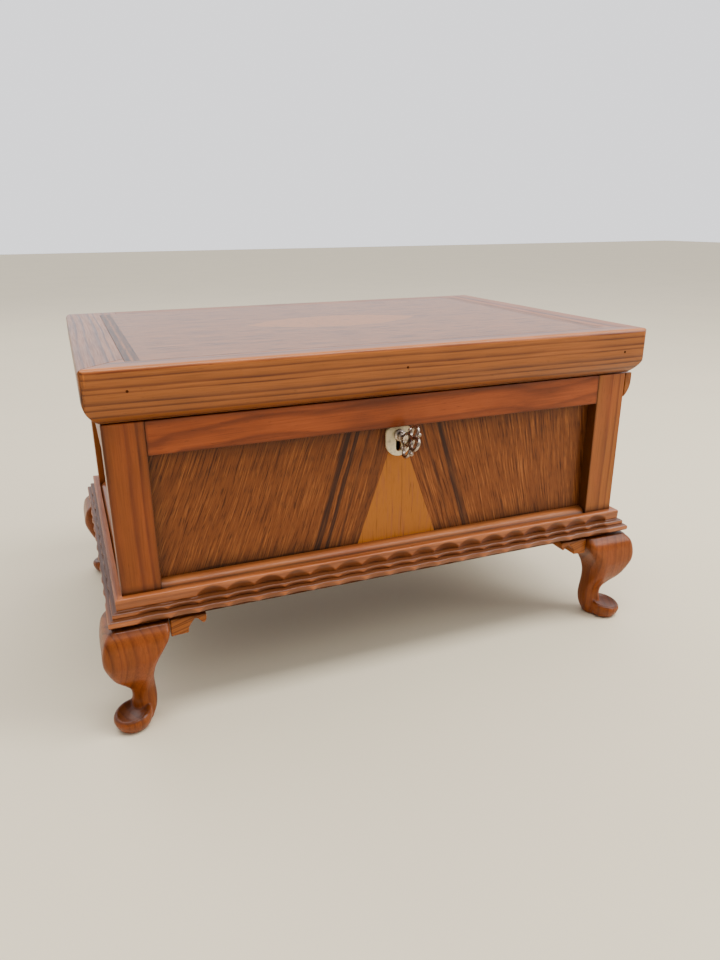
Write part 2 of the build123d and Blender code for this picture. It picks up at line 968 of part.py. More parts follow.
def hinge_leaf(x, lid_side):
    """One leaf with its knuckles; the lid's leaf has the middle knuckle, the case's the outer two."""
    third = hinge_length / 3
    low = lid_bottom if lid_side else case_top - hinge_leaf_thickness
    clear_y = hinge_y - knuckle_radius - knuckle_clearance
    leaf = block(
        x - hinge_length / 2,
        x + hinge_length / 2,
        half_depth - hinge_leaf_depth,
        clear_y,
        low,
        low + hinge_leaf_thickness,
    )
    spots = [x] if lid_side else [x - third, x + third]
    bore = hinge_pin_radius + (running_clearance if lid_side else 0)
    for spot in spots:
        half = third / 2 - (knuckle_gap / 2 if spot == x else 0)
        near = spot - half + (knuckle_gap / 2 if spot > x else 0)
        far = spot + half - (knuckle_gap / 2 if spot < x else 0)
        leaf += block(near, far, clear_y, hinge_y, low, low + hinge_leaf_thickness)
        leaf += rod(knuckle_radius, (near, hinge_y, hinge_z), (far, hinge_y, hinge_z))
        leaf -= rod(bore, (near, hinge_y, hinge_z), (far, hinge_y, hinge_z))
    return leaf


def hinge_leaves(lid_side):
    """Both leaves of one kind, with their screw holes."""
    z = lid_bottom if lid_side else case_top
    direction = (0, 0, 1) if lid_side else (0, 0, -1)
    holes = hinge_screws(z, direction)
    return Compound([hinge_leaf(x, lid_side) - holes for x in hinge_spots])


def hinge_pins():
    """Pins through the knuckles."""
    half = hinge_length / 2
    return Compound(
        [
            rod(hinge_pin_radius, (x - half, hinge_y, hinge_z), (x + half, hinge_y, hinge_z))
            for x in hinge_spots
        ]
    )


# Linings


def floor_lining():
    """Pad on the bottom board."""
    x = post_inner_x - floor_pad_gap
    y = post_inner_y - floor_pad_gap
    return block(-x, x, -y, y, board_top, board_top + floor_pad_height)


def front_lining():
    """Lining of the front wall, cut out round the lock."""
    top = case_top - wall_lining_drop
    wall = block(-post_inner_x, post_inner_x, inner_face, -post_inner_y, board_top, top)
    low = key_z - lock_below_key - lock_wall - lining_gap
    reach = plate_half_width + lining_gap
    notch = block(lock_x - reach, lock_x + reach, inner_face, -post_inner_y, low, top)
    return wall - notch


def back_lining():
    """Lining of the back wall."""
    top = case_top - wall_lining_drop
    return block(-post_inner_x, post_inner_x, post_inner_y, -inner_face, board_top, top)


def side_lining():
    """Lining of the left wall."""
    top = case_top - wall_lining_drop
    near = -half_width + rail_thickness
    return block(near, -post_inner_x, -post_inner_y, post_inner_y, board_top, top)


def lid_lining():
    """Padded lining in the hollow of the lid."""
    top = lid_top - veneer_thickness - lid_panel_thickness
    x = lid_half_width - lid_rail_width - lining_gap
    front = lid_front + lid_rail_width + lining_gap
    back = lid_back - lid_rail_width - lining_gap
    return block(-x, x, front, back, top - lid_lining_thickness, top)


def main():
    os.makedirs("parts", exist_ok=True)

    left_front_post = post(True)
    left_back_post = mirrored_y(post(False))
    save("post_front_left", left_front_post)
    save("post_front_right", mirrored_x(left_front_post))
    save("post_back_left", left_back_post)
    save("post_back_right", mirrored_x(left_back_post))

    save("rail_top_front", front_rail())
    save("rail_top_back", back_rail())
    save("rail_top_left", side_rail())
    save("rail_top_right", mirrored_x(side_rail()))

    save("panel_front", front_panel())
    save("panel_back", back_panel())
    save("panel_left", side_panel())
    save("panel_right", mirrored_x(side_panel()))
    left_sheet, right_sheet, wedge = front_veneers()
    save("veneer_front_left", left_sheet)
    save("veneer_front_right", right_sheet)
    save("veneer_front_wedge", wedge)
    save("bead_front", front_bead())
    save("bead_left", side_bead())
    save("bead_right", mirrored_x(side_bead()))
    save("side_strip_right", side_strip())

    save("bottom_board", bottom_board())
    save("base_moulding_front", base_moulding(case_width, case_depth, True))
    back_moulding = mirrored_y(base_moulding(case_width, case_depth, False))
    save("base_moulding_back", back_moulding)
    left_moulding = Rot(0, 0, -90) * base_moulding(case_depth, case_width, True)
    save("base_moulding_left", left_moulding)
    save("base_moulding_right", mirrored_x(left_moulding))

    left_leg = leg()
    left_ears = ears(left_leg)
    for side, flip_x in (("left", False), ("right", True)):
        for end, flip_y in (("front", False), ("back", True)):
            one_leg = mirrored_x(left_leg) if flip_x else left_leg
            one_pair = mirrored_x(left_ears) if flip_x else left_ears
            save(f"leg_{end}_{side}", mirrored_y(one_leg) if flip_y else one_leg)
            save(f"ears_{end}_{side}", mirrored_y(one_pair) if flip_y else one_pair)

    save("escutcheon", escutcheon())
    save("lock_plate", lock_plate())
    save("lock_case", lock_case())
    save("lock_pins", lock_pins())
    save("lock_screws", Compound(lock_screws()))
    save("lock_bolt", lock_bolt())
    save("key", key())

    save("lid_rail_front", lid_front_rail())
    save("lid_rail_back", lid_back_rail())
    save("lid_rail_left", lid_side_rail())
    save("lid_rail_right", mirrored_x(lid_side_rail()))
    save("lid_panel", lid_panel_block())
    field, strings, inlay = lid_veneers()
    save("lid_veneer_field", field)
    save("lid_strings", strings)
    save("lid_oval_inlay", inlay)
    save("keeper_plate", keeper_plate())
    save("keeper_screws", Compound(keeper_screws()))

    save("hinge_leaves_case", hinge_leaves(False))
    save("hinge_leaves_lid", hinge_leaves(True))
    save("hinge_pins", hinge_pins())
    save("hinge_screws_case", Compound(hinge_screws(case_top, (0, 0, -1))))
    save("hinge_screws_lid", Compound(hinge_screws(lid_bottom, (0, 0, 1))))

    save("lining_floor", floor_lining())
    save("lining_front", front_lining())
    save("lining_back", back_lining())
    save("lining_left", side_lining())
    save("lining_right", mirrored_x(side_lining()))
    save("lid_lining", lid_lining())

    print("frame shift", round(frame_shift, 3))
    print("bolt throw", round(bolt_throw, 3), "drive per radian", round(drive_per_radian, 4))
    print("hinge axis", round(hinge_y + frame_shift, 3), round(hinge_z, 3))
    print("key axis", lock_x, round(key_z, 3))


if __name__ == "__main__":
    main()
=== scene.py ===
"""Looks of a small footed jewelry box: pine frame, striped veneers, carved base, lock and key."""

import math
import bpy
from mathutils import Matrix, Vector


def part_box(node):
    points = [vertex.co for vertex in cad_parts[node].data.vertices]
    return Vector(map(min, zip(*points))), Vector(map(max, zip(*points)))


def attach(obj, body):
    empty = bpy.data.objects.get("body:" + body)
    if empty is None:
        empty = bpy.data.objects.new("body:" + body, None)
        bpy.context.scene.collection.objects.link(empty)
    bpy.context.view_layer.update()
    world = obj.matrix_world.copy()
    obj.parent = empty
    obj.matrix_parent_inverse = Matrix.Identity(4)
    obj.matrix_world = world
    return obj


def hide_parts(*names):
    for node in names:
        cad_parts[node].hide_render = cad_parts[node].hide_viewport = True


bl_info = {
    "name": "Footed jewelry box",
    "version": (1, 0, 0),
    "blender": (4, 5, 0),
    "location": "3D View > Sidebar > Jewelry box",
    "description": "Builds the fine forms and finishes of a footed wooden jewelry box",
    "category": "Object",
}

from functools import partial

import bmesh
import bpy
import numpy as np
from mathutils import Matrix, Vector

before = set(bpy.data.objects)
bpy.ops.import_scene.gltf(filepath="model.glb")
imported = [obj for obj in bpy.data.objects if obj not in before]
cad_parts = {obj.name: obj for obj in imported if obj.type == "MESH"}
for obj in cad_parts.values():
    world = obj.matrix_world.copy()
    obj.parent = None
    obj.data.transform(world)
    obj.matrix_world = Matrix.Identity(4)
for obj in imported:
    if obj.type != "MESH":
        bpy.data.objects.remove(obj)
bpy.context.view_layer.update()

MM = 0.001
MATH = "ShaderNodeMath"
VECTOR_MATH = "ShaderNodeVectorMath"
COMBINE = "ShaderNodeCombineXYZ"
SEPARATE = "ShaderNodeSeparateXYZ"
SPAN = "ShaderNodeMapRange"
NOISE = "ShaderNodeTexNoise"
MIX = "ShaderNodeMix"
RAMP = "ShaderNodeValToRGB"
MOVE = "GeometryNodeTransform"
JOIN = "GeometryNodeJoinGeometry"
REALIZE = "GeometryNodeRealizeInstances"
SET_MATERIAL = "GeometryNodeSetMaterial"
# A mix in which one colour or factor darkens or lightens another
SHADE = {"data_type": "RGBA", "blend_type": "MULTIPLY"}

# Places read from the frame, in metres
CASE_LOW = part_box("post_front_left")[0]
CASE_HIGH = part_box("post_back_right")[1]
MIDDLE_Y = (CASE_LOW.y + CASE_HIGH.y) / 2
HALF_WIDTH = CASE_HIGH.x
HALF_DEPTH = (CASE_HIGH.y - CASE_LOW.y) / 2
LEG_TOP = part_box("leg_front_left")[1].z
KNEE_PROUD = 8.5 * MM
KNEE_X = HALF_WIDTH + KNEE_PROUD
KNEE_Y = HALF_DEPTH + KNEE_PROUD
VENEER_LOW, VENEER_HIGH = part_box("veneer_front_left")
VENEER_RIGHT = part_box("veneer_front_right")[1].x
BEAD_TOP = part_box("bead_front")[1].z
LID_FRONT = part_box("lid_rail_front")[0].y
SHIELD_LOW, SHIELD_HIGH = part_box("escutcheon")
BOLT_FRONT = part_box("lock_bolt")[0].y


def linear(code):
    """An sRGB hex colour as the linear colour that a shader takes."""
    channels = [int(code[i : i + 2], 16) / 255 for i in (1, 3, 5)]
    return tuple(c / 12.92 if c <= 0.04045 else ((c + 0.055) / 1.055) ** 2.4 for c in channels)


def tint(name, code):
    return bpy.props.FloatVectorProperty(
        name=name, description=f"{name} colour", size=3, subtype="COLOR", default=linear(code)
    )


def length(name, about, millimetres):
    return bpy.props.FloatProperty(
        name=name, description=about, default=millimetres * MM, unit="LENGTH", min=0.0
    )


class JewelryBoxColours(bpy.types.PropertyGroup):
    honey: tint("Honey pine", "#91521E")
    honey_line: tint("Growth line in honey pine", "#40150A")
    bead: tint("Golden pine bead", "#9C5824")
    red: tint("Red pine", "#98481C")
    moulding: tint("Moulding pine", "#B06434")
    red_line: tint("Growth line in red pine", "#421404")
    leg: tint("Leg pine", "#7C3E10")
    leg_line: tint("Growth line in leg pine", "#421804")
    ear: tint("Pale end wood", "#A45A1C")
    walnut: tint("Walnut veneer", "#763E18")
    walnut_dark: tint("Dark streak in walnut veneer", "#4A2006")
    walnut_light: tint("Light streak in walnut veneer", "#9A5A28")
    golden: tint("Golden veneer", "#A26020")
    stripe: tint("Dark stripe", "#2C120A")
    lid_field: tint("Lid field", "#8A5228")
    raw_board: tint("Plain board", "#B48A54")
    # Painted shade: dark board that shows only in the narrow gap between the moulding and the legs
    gap_shade_board: tint("Stained board", "#4A2A12")
    bone: tint("Keyhole shield", "#D8C8A4")
    # Warmer than bare nickel: its own tone with painted reflection of the brown wood round the key
    nickel: tint("Nickel", "#B8AA9C")
    steel: tint("Lock steel", "#A8A49C")
    rust: tint("Rusted nail", "#5A3018")
    brass: tint("Brass", "#C09A50")
    velvet: tint("Velvet", "#6A0F1C")
    floor: tint("Floor", "#E6D8BA")


class JewelryBoxSizes(bpy.types.PropertyGroup):
    ease: length("Eased edge", "Width of the eased edges of the wooden parts", 0.45)
    metal_ease: length("Metal edge", "Width of the eased edges of the metal parts", 0.12)
    shield_edge: length("Shield edge", "Rounding of the keyhole shield's rim", 0.6)
    grain: length("Carving grain", "Cell size that the carved legs are remeshed at", 0.55)
    scoop_pitch: length("Scoop pitch", "Distance from one carved scoop to the next", 15.5)
    scoop_depth: length("Scoop depth", "Depth of the carved scoops", 1.6)
    nail: length("Nail radius", "Radius of the nail heads in the lid", 0.7)


COLOURS = {}
SIZES = {}


# Finishes


def connect(made, inputs):
    """Sets a node's inputs, or links them to sockets or to other nodes' first output in use."""
    for key, value in inputs.items():
        socket = made.inputs[key]
        if isinstance(value, bpy.types.Node):
            value = next(output for output in value.outputs if output.enabled)
        if isinstance(value, bpy.types.NodeSocket):
            made.id_data.links.new(value, socket)
        elif socket.type == "RGBA" and len(value) == 3:
            socket.default_value = (*value, 1)
        else:
            socket.default_value = value


def node(tree, kind, inputs=None, stops=(), **settings):
    """Adds a node with its settings, connects its inputs, and places a ramp's stops."""
    made = tree.nodes.new(kind)
    for key, value in settings.items():
        setattr(made, key, value)
    connect(made, inputs or {})
    for spare in stops[2:]:
        made.color_ramp.elements.new(0.5)
    for k, (place, value) in enumerate(stops):
        made.color_ramp.elements[k].position = place
        grey = (value, value, value) if isinstance(value, float) else value
        made.color_ramp.elements[k].color = (*grey, 1)
    return made


def shader(name, colour, roughness, **constants):
    """A material, its shader with constants set on its own sockets, and its adder of nodes."""
    material = bpy.data.materials.new(name)
    material.use_nodes = True
    material.node_tree.nodes.clear()
    add = partial(node, material.node_tree)
    surface = add("ShaderNodeBsdfPrincipled")
    add("ShaderNodeOutputMaterial", {0: surface})
    constants = {"Base_Color": colour, "Roughness": roughness, **constants}
    connect(surface, {key.replace("_", " "): value for key, value in constants.items()})
    return material, surface, add


def millimetres(add, stretch=(1, 1, 1), **placing):
    """The piece's own coordinates in millimetres, stretched, turned and moved."""
    place = add("ShaderNodeTexCoord").outputs["Object"]
    scale = tuple(1000 * share for share in stretch)
    return add("ShaderNodeMapping", {"Vector": place, "Scale": scale, **placing})


def finish(add, surface, colour, height, strength, deep, **others):
    """Gives a shader its colour and its relief, deep millimetres from its hollows to its tops."""
    relief = {"Strength": strength, "Distance": deep * MM, "Height": height}
    bump = add("ShaderNodeBump", relief)
    connect(surface, {"Base Color": colour, "Normal": bump, **others})


GRAIN_TURN = {
    "X": (0, 0, 0),
    "Y": (0, 0, -math.pi / 2),
    "Z": (0, math.pi / 2, 0),
}
# From one year's late wood to the next: place in the year and darkness
YEAR = ((0.0, 0.3), (0.07, 0.0), (0.42, 0.06), (0.66, 0.3), (0.8, 0.8), (0.92, 1.0), (1.0, 0.4))


def pine(name, grain, heart, ring, early, late, seed, wander=2.2, blush=None, gloss=0.2,
         depth=1.0, knots=(), tilt=0.0, shade_and_dirt=(), pooled_stain_and_shade=False, carved=False, coat_rough=0.13,
         painted_arris_highlight=False):
    """Sawn, stained and varnished pine: dark lines of late wood round a heart outside the board.

    heart is the heart's place across the grain and ring the width of a year, in millimetres.
    wander is how far the lines stray, depth how dark they are and tilt how far the grain runs off
    in degrees. knots are (x, y, z, reach, push). shade_and_dirt are (axis, place, reach) planes
    that get painted shade, where it falls in creases and under overhangs, with some dirt.
    pooled_stain_and_shade darkens hollows near the floor with painted shade and pooled stain,
    carved darkens gouge cuts with pooled stain and painted shade and the grooves below the reeds
    with painted shade, and painted_arris_highlight paints a highlight on the front's top edge.
    The eye gets dark lines on warm wood, finer fibres, and a clear film over all."""
    material, surface, add = shader(
        name, COLOURS[early], 0.42, Coat_Weight=gloss, Coat_Roughness=coat_rough,
        Specular_IOR_Level=0.16,
    )
    turn = Vector(GRAIN_TURN[grain]) + Vector((0, math.radians(tilt), 0))
    board = millimetres(add, Rotation=turn, Location=(37.0 * seed, -heart[0], -heart[1]))

    def figure(stretch, detail):
        stretched = add(VECTOR_MATH, {0: board, 1: stretch}, operation="MULTIPLY")
        return add(NOISE, {"Vector": stretched, "Scale": 1.0, "Detail": detail})

    drift = figure((0.012, 0.04, 0.04), 1.5)
    across = add(VECTOR_MATH, {0: board, 1: (0, 1, 1)}, operation="MULTIPLY")
    radius = add(VECTOR_MATH, {0: across}, operation="LENGTH")
    radius = add(MATH, {0: drift, 1: 2 * wander, 2: radius}, operation="MULTIPLY_ADD")
    for x, y, z, reach, push in knots:
        aside = add(VECTOR_MATH, {0: board, 1: (x, y, z)}, operation="DISTANCE")
        swell = add(
            SPAN, {"Value": aside, "From Min": reach, "From Max": 0.0, "To Max": push},
            interpolation_type="SMOOTHERSTEP",
        )
        radius = add(MATH, {0: radius, 1: swell}, operation="ADD")
    uneven = add(NOISE, {"W": radius, "Scale": 0.5 / ring, "Detail": 1.0}, noise_dimensions="1D")
    year = add(MATH, {0: radius, 1: ring}, operation="DIVIDE")
    year = add(MATH, {0: uneven, 1: 1.3, 2: year}, operation="MULTIPLY_ADD")
    year = add(MATH, {0: year}, operation="FRACT")
    fade = {"From Min": 0.3, "From Max": 0.7, "To Min": depth, "To Max": 0.65 * depth}
    fade = add(SPAN, {"Value": drift, **fade})
    line = add(MATH, {0: add(RAMP, {0: year}, stops=YEAR), 1: fade}, operation="MULTIPLY")
    colour = add(MIX, {0: line, 6: COLOURS[early], 7: COLOURS[late]}, data_type="RGBA")

    # Broad patches where the stain took more
    patch = add(RAMP, {0: figure((0.02, 0.09, 0.09), 2.0)}, stops=((0.4, 0.0), (0.75, 0.5)))
    colour = add(MIX, {0: patch, 6: colour, 7: COLOURS[blush or late]}, data_type="RGBA")

    # Fibres about 0.5 mm apart that run with the grain, and short dark resin ducts
    fibre = figure((0.05, 1.6, 1.6), 3.0)
    duct = figure((0.22, 2.6, 2.6), 1.0)
    factors = [
        add(RAMP, {0: fibre}, stops=((0.25, 0.78), (0.5, 1.0), (0.75, 1.16))),
        add(RAMP, {0: duct}, stops=((0.68, 1.0), (0.76, 0.62))),
    ]
    level = add(SEPARATE, {0: add("ShaderNodeTexCoord").outputs["Object"]})
    # Painted shade, with some dirt, darkens the wood near each of these planes
    for axis, where, reach in shade_and_dirt:
        away = add(MATH, {0: level.outputs[axis], 1: where * MM}, operation="SUBTRACT")
        away = add(MATH, {0: away}, operation="ABSOLUTE")
        away = add(MATH, {0: fibre, 1: -0.6 * reach * MM, 2: away}, operation="MULTIPLY_ADD")
        near = {"From Min": -0.3 * reach * MM, "From Max": 0.7 * reach * MM}
        near = add(SPAN, {"Value": away, **near})
        factors.append(add(RAMP, {0: near}, stops=((0.0, 0.3), (0.3, 0.62), (1.0, 1.0))))
    if pooled_stain_and_shade or painted_arris_highlight:
        facing = add(SEPARATE, {0: add("ShaderNodeNewGeometry").outputs["Normal"]})
    if pooled_stain_and_shade:
        # Painted shade and pooled stain, only where the wood faces up and lies below about 12 mm,
        # as the hollows of the feet do
        hollow = add(MATH, {0: facing.outputs[2], 1: 0.45}, operation="SUBTRACT")
        low = add(SPAN, {"Value": level.outputs[2], "From Min": 0.014, "From Max": 0.011})
        hollow = add(MATH, {0: hollow, 1: low}, operation="MULTIPLY")
        factors.append(add(RAMP, {0: hollow}, stops=((0.0, 1.0), (0.3, 0.5))))
    if painted_arris_highlight:
        # Painted highlight on the rounded top front edge, strongest where it faces both forward
        # and up
        slant = add(MATH, {0: facing.outputs[1], 1: facing.outputs[2]}, operation="MULTIPLY")
        painted_highlight = {"From Min": -0.06, "From Max": -0.3, "To Min": 1.0, "To Max": 1.75}
        factors.append(add(SPAN, {"Value": slant, **painted_highlight}))
    if carved:
        # Darker in gouge cuts, with pooled stain and painted shade, and in the grooves below the
        # reeds, with painted shade
        cut = add("ShaderNodeAttribute", attribute_name="cut").outputs["Fac"]
        factors.append(add(RAMP, {0: cut}, stops=((0.0, 1.0), (0.2, 0.55), (0.85, 0.32))))
    for factor in factors:
        colour = add(MIX, {0: 1.0, 6: colour, 7: factor}, **SHADE)

    rough = add(RAMP, {0: fibre}, stops=((0.3, 0.5), (0.7, 0.36)))
    height = add(MATH, {0: fibre, 1: 0.35, 2: line}, operation="MULTIPLY_ADD")
    finish(add, surface, colour, height, 0.25, 0.12, Roughness=rough)
    return material


def veneer(name, across, along, tones, streak, fan=(0.0, 0.0, 0.0), bands=(), band_range=(0, 1),
           corner=None, gloss=0.1, coat_rough=0.16, cracks=False, contrast=1.0, pores=0.8):
    """Sliced veneer under thin varnish: fine streaks that run one way, with pores as dark ticks.

    across and along are directions, and streak is the streaks' spacing. fan is the streaks'
    slope, how fast it changes and the height that they fan out from. bands are (from, to,
    darkness) stripes counted across the grain at that height. corner is a rectangle in X and Z
    whose borders get painted shade, where the recess round the sheet is shaded, with some dirt.
    The eye gets close, broken lines with the figure's stripes."""
    dark, middle, light = (COLOURS[tone] for tone in tones)
    material, surface, add = shader(
        name, middle, 0.4, Coat_Weight=gloss, Coat_Roughness=coat_rough, Specular_IOR_Level=0.16
    )
    sheet = millimetres(add)
    wave = add(VECTOR_MATH, {0: sheet, 1: (0.02, 0.02, 0.02)}, operation="MULTIPLY")
    wave = add(NOISE, {"Vector": wave, "Scale": 1.0, "Detail": 2.0})
    slope, spread, origin = fan
    side = add(VECTOR_MATH, {0: sheet, 1: across}, operation="DOT_PRODUCT")
    run = add(VECTOR_MATH, {0: sheet, 1: along}, operation="DOT_PRODUCT")
    rise = add(MATH, {0: run, 1: origin}, operation="SUBTRACT")
    lean = add(MATH, {0: rise, 1: -slope, 2: side}, operation="MULTIPLY_ADD")
    opening = add(MATH, {0: rise, 1: -spread, 2: 1.0}, operation="MULTIPLY_ADD")
    side = add(MATH, {0: lean, 1: opening}, operation="DIVIDE")
    bent = add(MATH, {0: wave, 1: 4.0, 2: side}, operation="MULTIPLY_ADD")

    def figure(fine, slow, detail):
        u = add(MATH, {0: bent, 1: fine / streak}, operation="MULTIPLY")
        v = add(MATH, {0: run, 1: slow}, operation="MULTIPLY")
        return add(NOISE, {"Vector": add(COMBINE, {0: u, 1: v}), "Scale": 1.0, "Detail": detail})

    fine = figure(1.0, 0.04, 3.0)
    tone = add(MIX, {0: 0.16, 2: fine, 3: figure(0.1, 0.005, 2.0)}, data_type="FLOAT")
    low, high = 0.5 - 0.12 / contrast, 0.5 + 0.14 / contrast
    streaks = ((low, dark), (0.47, middle), (0.53, middle), (high, light))
    colour = add(RAMP, {0: tone}, stops=streaks)
    tick = add(RAMP, {0: figure(1.9, 0.16, 1.0)}, stops=((0.53, 1.0), (0.66, 0.4)))
    colour = add(MIX, {0: pores, 6: colour, 7: tick}, **SHADE)
    if cracks:
        crack = figure(0.9, 0.012, 0.0)
        crack = add(RAMP, {0: crack}, stops=((0.62, 1.0), (0.64, 0.45), (0.66, 1.0)))
        colour = add(MIX, {0: 1.0, 6: colour, 7: crack}, **SHADE)
    if bands:
        low, high = band_range
        share = add(SPAN, {"Value": side, "From Min": low, "From Max": high})
        stops = [(0.0, 0.0)]
        blur = 0.3 / (high - low)
        for start, end, dark_part in bands:
            a, b = ((v - low) / (high - low) for v in (start, end))
            stops += [(a - blur, 0.0), (a, dark_part), (b, dark_part), (b + blur, 0.0)]
        mask = add(RAMP, {0: share}, stops=stops)
        torn = add(RAMP, {0: fine}, stops=((0.4, 1.0), (0.7, 0.75)))
        mask = add(MATH, {0: mask, 1: torn}, operation="MULTIPLY")
        colour = add(MIX, {0: mask, 6: colour, 7: COLOURS["stripe"]}, data_type="RGBA")
    if corner:
        # Painted shade, with some dirt, along the borders of the sheet, where its recess is shaded
        split = add(SEPARATE, {0: sheet})
        edge = None
        for axis, place, sign in zip((0, 0, 2, 2), corner, (1.0, -1.0, 1.0, -1.0)):
            away = {0: split.outputs[axis], 1: sign, 2: -sign * place}
            away = add(MATH, away, operation="MULTIPLY_ADD")
            edge = add(MATH, {0: edge, 1: away}, operation="MINIMUM") if edge else away
        border_shade_and_dirt = add(MATH, {0: wave, 1: -9.0, 2: edge}, operation="MULTIPLY_ADD")
        border_shade_and_dirt = add(SPAN, {"Value": border_shade_and_dirt, "From Min": -5.0, "From Max": 5.0})
        border_shade_and_dirt = add(RAMP, {0: border_shade_and_dirt}, stops=((0.0, 0.2), (0.1, 0.5), (0.45, 0.78), (1.0, 1.0)))
        colour = add(MIX, {0: 1.0, 6: colour, 7: border_shade_and_dirt}, **SHADE)
    height = add(MATH, {0: tick, 1: 1.0, 2: fine}, operation="MULTIPLY_ADD")
    finish(add, surface, colour, height, 0.35, 0.1)
    return material


def metal(name, tone, roughness, tarnish, spots, stretch=(1, 1, 1)):
    """Cast or drawn metal: a clean base colour with patches of tarnish and fine scratches."""
    material, surface, add = shader(name, COLOURS[tone], roughness, Metallic=1.0)
    dull = add(NOISE, {"Vector": millimetres(add, stretch), "Scale": spots, "Detail": 4.0})
    mask = add(RAMP, {0: dull}, stops=((0.42, 0.0), (0.7, 0.8)))
    colour = add(MIX, {0: mask, 6: COLOURS[tone], 7: linear(tarnish)}, data_type="RGBA")
    rough = add(RAMP, {0: dull}, stops=((0.3, roughness), (0.8, min(1.0, roughness + 0.25))))
    finish(add, surface, colour, dull, 0.15, 0.05, Roughness=rough)
    return material


def bone(name):
    """Polished bone-coloured shield: soft gloss, a little light under the skin, grey smudges."""
    material, surface, add = shader(
        name, COLOURS["bone"], 0.3, Subsurface_Weight=0.15, Subsurface_Scale=MM,
        Subsurface_Radius=(1.0, 0.7, 0.5), IOR=1.54,
    )
    smudge = {"Vector": millimetres(add), "Scale": 0.35, "Detail": 5.0, "Roughness": 0.65}
    smudge = add(NOISE, smudge)
    mask = add(RAMP, {0: smudge}, stops=((0.5, 0.0), (0.72, 0.6)))
    colour = add(MIX, {0: mask, 6: COLOURS["bone"], 7: linear("#8C8272")}, data_type="RGBA")
    rough = add(RAMP, {0: smudge}, stops=((0.4, 0.24), (0.7, 0.45)))
    connect(surface, {"Base Color": colour, "Roughness": rough})
    return material


def velvet(name):
    """Cotton velvet: short pile that is dark face on and has a pale sheen at a slant."""
    material, surface, add = shader(
        name, COLOURS["velvet"], 0.9, Sheen_Weight=0.7, Sheen_Roughness=0.35,
        Sheen_Tint=linear("#C24A58"), Specular_IOR_Level=0.2,
    )
    place = millimetres(add)
    # The real pile is about 0.1 mm apart, and is drawn at 0.4 mm so that it shows
    pile = add(NOISE, {"Vector": place, "Scale": 2.4, "Detail": 2.0})
    brushed = add(NOISE, {"Vector": place, "Scale": 0.05, "Detail": 3.0})
    tone = add(MATH, {0: pile, 1: 0.5, 2: brushed}, operation="MULTIPLY_ADD")
    shade = add(RAMP, {0: tone}, stops=((0.45, 0.75), (1.0, 1.2)))
    colour = add(MIX, {0: 1.0, 6: COLOURS["velvet"], 7: shade}, **SHADE)
    finish(add, surface, colour, pile, 0.6, 0.2)
    return material


def painted_floor(name):
    """Matt painted board: an even pale ground with a barely visible mottle."""
    material, surface, add = shader(name, COLOURS["floor"], 0.85)
    place = add("ShaderNodeTexCoord").outputs["Object"]
    mottle = add(NOISE, {"Vector": place, "Scale": 6.0, "Detail": 4.0})
    shade = add(RAMP, {0: mottle}, stops=((0.3, 0.97), (0.7, 1.0)))
    colour = add(MIX, {0: 1.0, 6: COLOURS["floor"], 7: shade}, **SHADE)
    connect(surface, {"Base Color": colour})
    return material


# Meshes and pieces

WELD = 2e-6


def plain_object(name, mesh):
    made = bpy.data.objects.new(name, mesh)
    bpy.context.scene.collection.objects.link(made)
    return made


def settled(made):
    """The same object with its modifiers applied to a plain mesh."""
    graph = bpy.context.evaluated_depsgraph_get()
    final = bpy.data.meshes.new_from_object(made.evaluated_get(graph))
    final.name = made.name
    made.modifiers.clear()
    made.data = final
    return made


def skinned(made, cell, rounds):
    """One smooth skin over forms that cross, on a grid of cells and smoothed."""
    remesh = made.modifiers.new("skin", "REMESH")
    remesh.mode = "VOXEL"
    remesh.voxel_size = cell
    settle = made.modifiers.new("settle", "SMOOTH")
    settle.factor = 0.5
    settle.iterations = rounds
    return settled(made)


def smooth_faces(mesh, angle=None):
    for face in mesh.polygons:
        face.use_smooth = True
    if angle is not None:
        mesh.set_sharp_from_angle(angle=math.radians(angle))


def clad(made, material):
    made.data.materials.clear()
    made.data.materials.append(material)


def dressed(made, body, slot, material, *replaced):
    """Gives a finished piece its material and body, and hides the nodes that it stands for. The
    slot is not used.
    """
    clad(made, material)
    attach(made, body)
    if replaced:
        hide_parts(*replaced)
    return made


def finish_node(source, material):
    """Gives a CAD node that stays a better material."""
    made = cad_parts[source]
    clad(made, material)
    smooth_faces(made.data, 30)


def eased_copy(source, name, width, segments):
    """A copy of a node with whole faces and eased edges."""
    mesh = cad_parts[source].data.copy()
    mesh.name = name
    mesh.materials.clear()
    work = bmesh.new()
    work.from_mesh(mesh)
    bmesh.ops.remove_doubles(work, verts=work.verts, dist=WELD)
    bmesh.ops.dissolve_limit(
        work, angle_limit=math.radians(0.5), verts=work.verts, edges=work.edges
    )
    work.to_mesh(mesh)
    work.free()
    smooth_faces(mesh)
    made = plain_object(name, mesh)
    bevel = made.modifiers.new("ease", "BEVEL")
    bevel.width = width
    bevel.segments = segments
    bevel.limit_method = "ANGLE"
    bevel.angle_limit = math.radians(30)
    bevel.miter_outer = "MITER_ARC"
    # Flat faces stay flat, and the narrow ones between them shade round
    made.modifiers.new("shade", "WEIGHTED_NORMAL").keep_sharp = True
    return settled(made)


def eased_pieces(rows, width, segments=2):
    """Eased copies for (node, piece, body, slot, material) rows."""
    return [
        dressed(eased_copy(source, name, width, segments), body, slot, material, source)
        for source, name, body, slot, material in rows
    ]


def mesh_from(name, points, faces):
    mesh = bpy.data.meshes.new(name)
    mesh.from_pydata([tuple(p) for p in points], [], faces)
    mesh.update()
    return mesh


def tube_faces(rings, around):
    """Quads between rings of points, all of the same count, and a face on each end."""
    last = (rings - 1) * around
    faces = []
    for start in range(0, last, around):
        for k in range(around):
            a, b = start + k, start + (k + 1) % around
            faces.append((a, b, b + around, a + around))
    return [*faces, tuple(reversed(range(around))), tuple(range(last, last + around))]


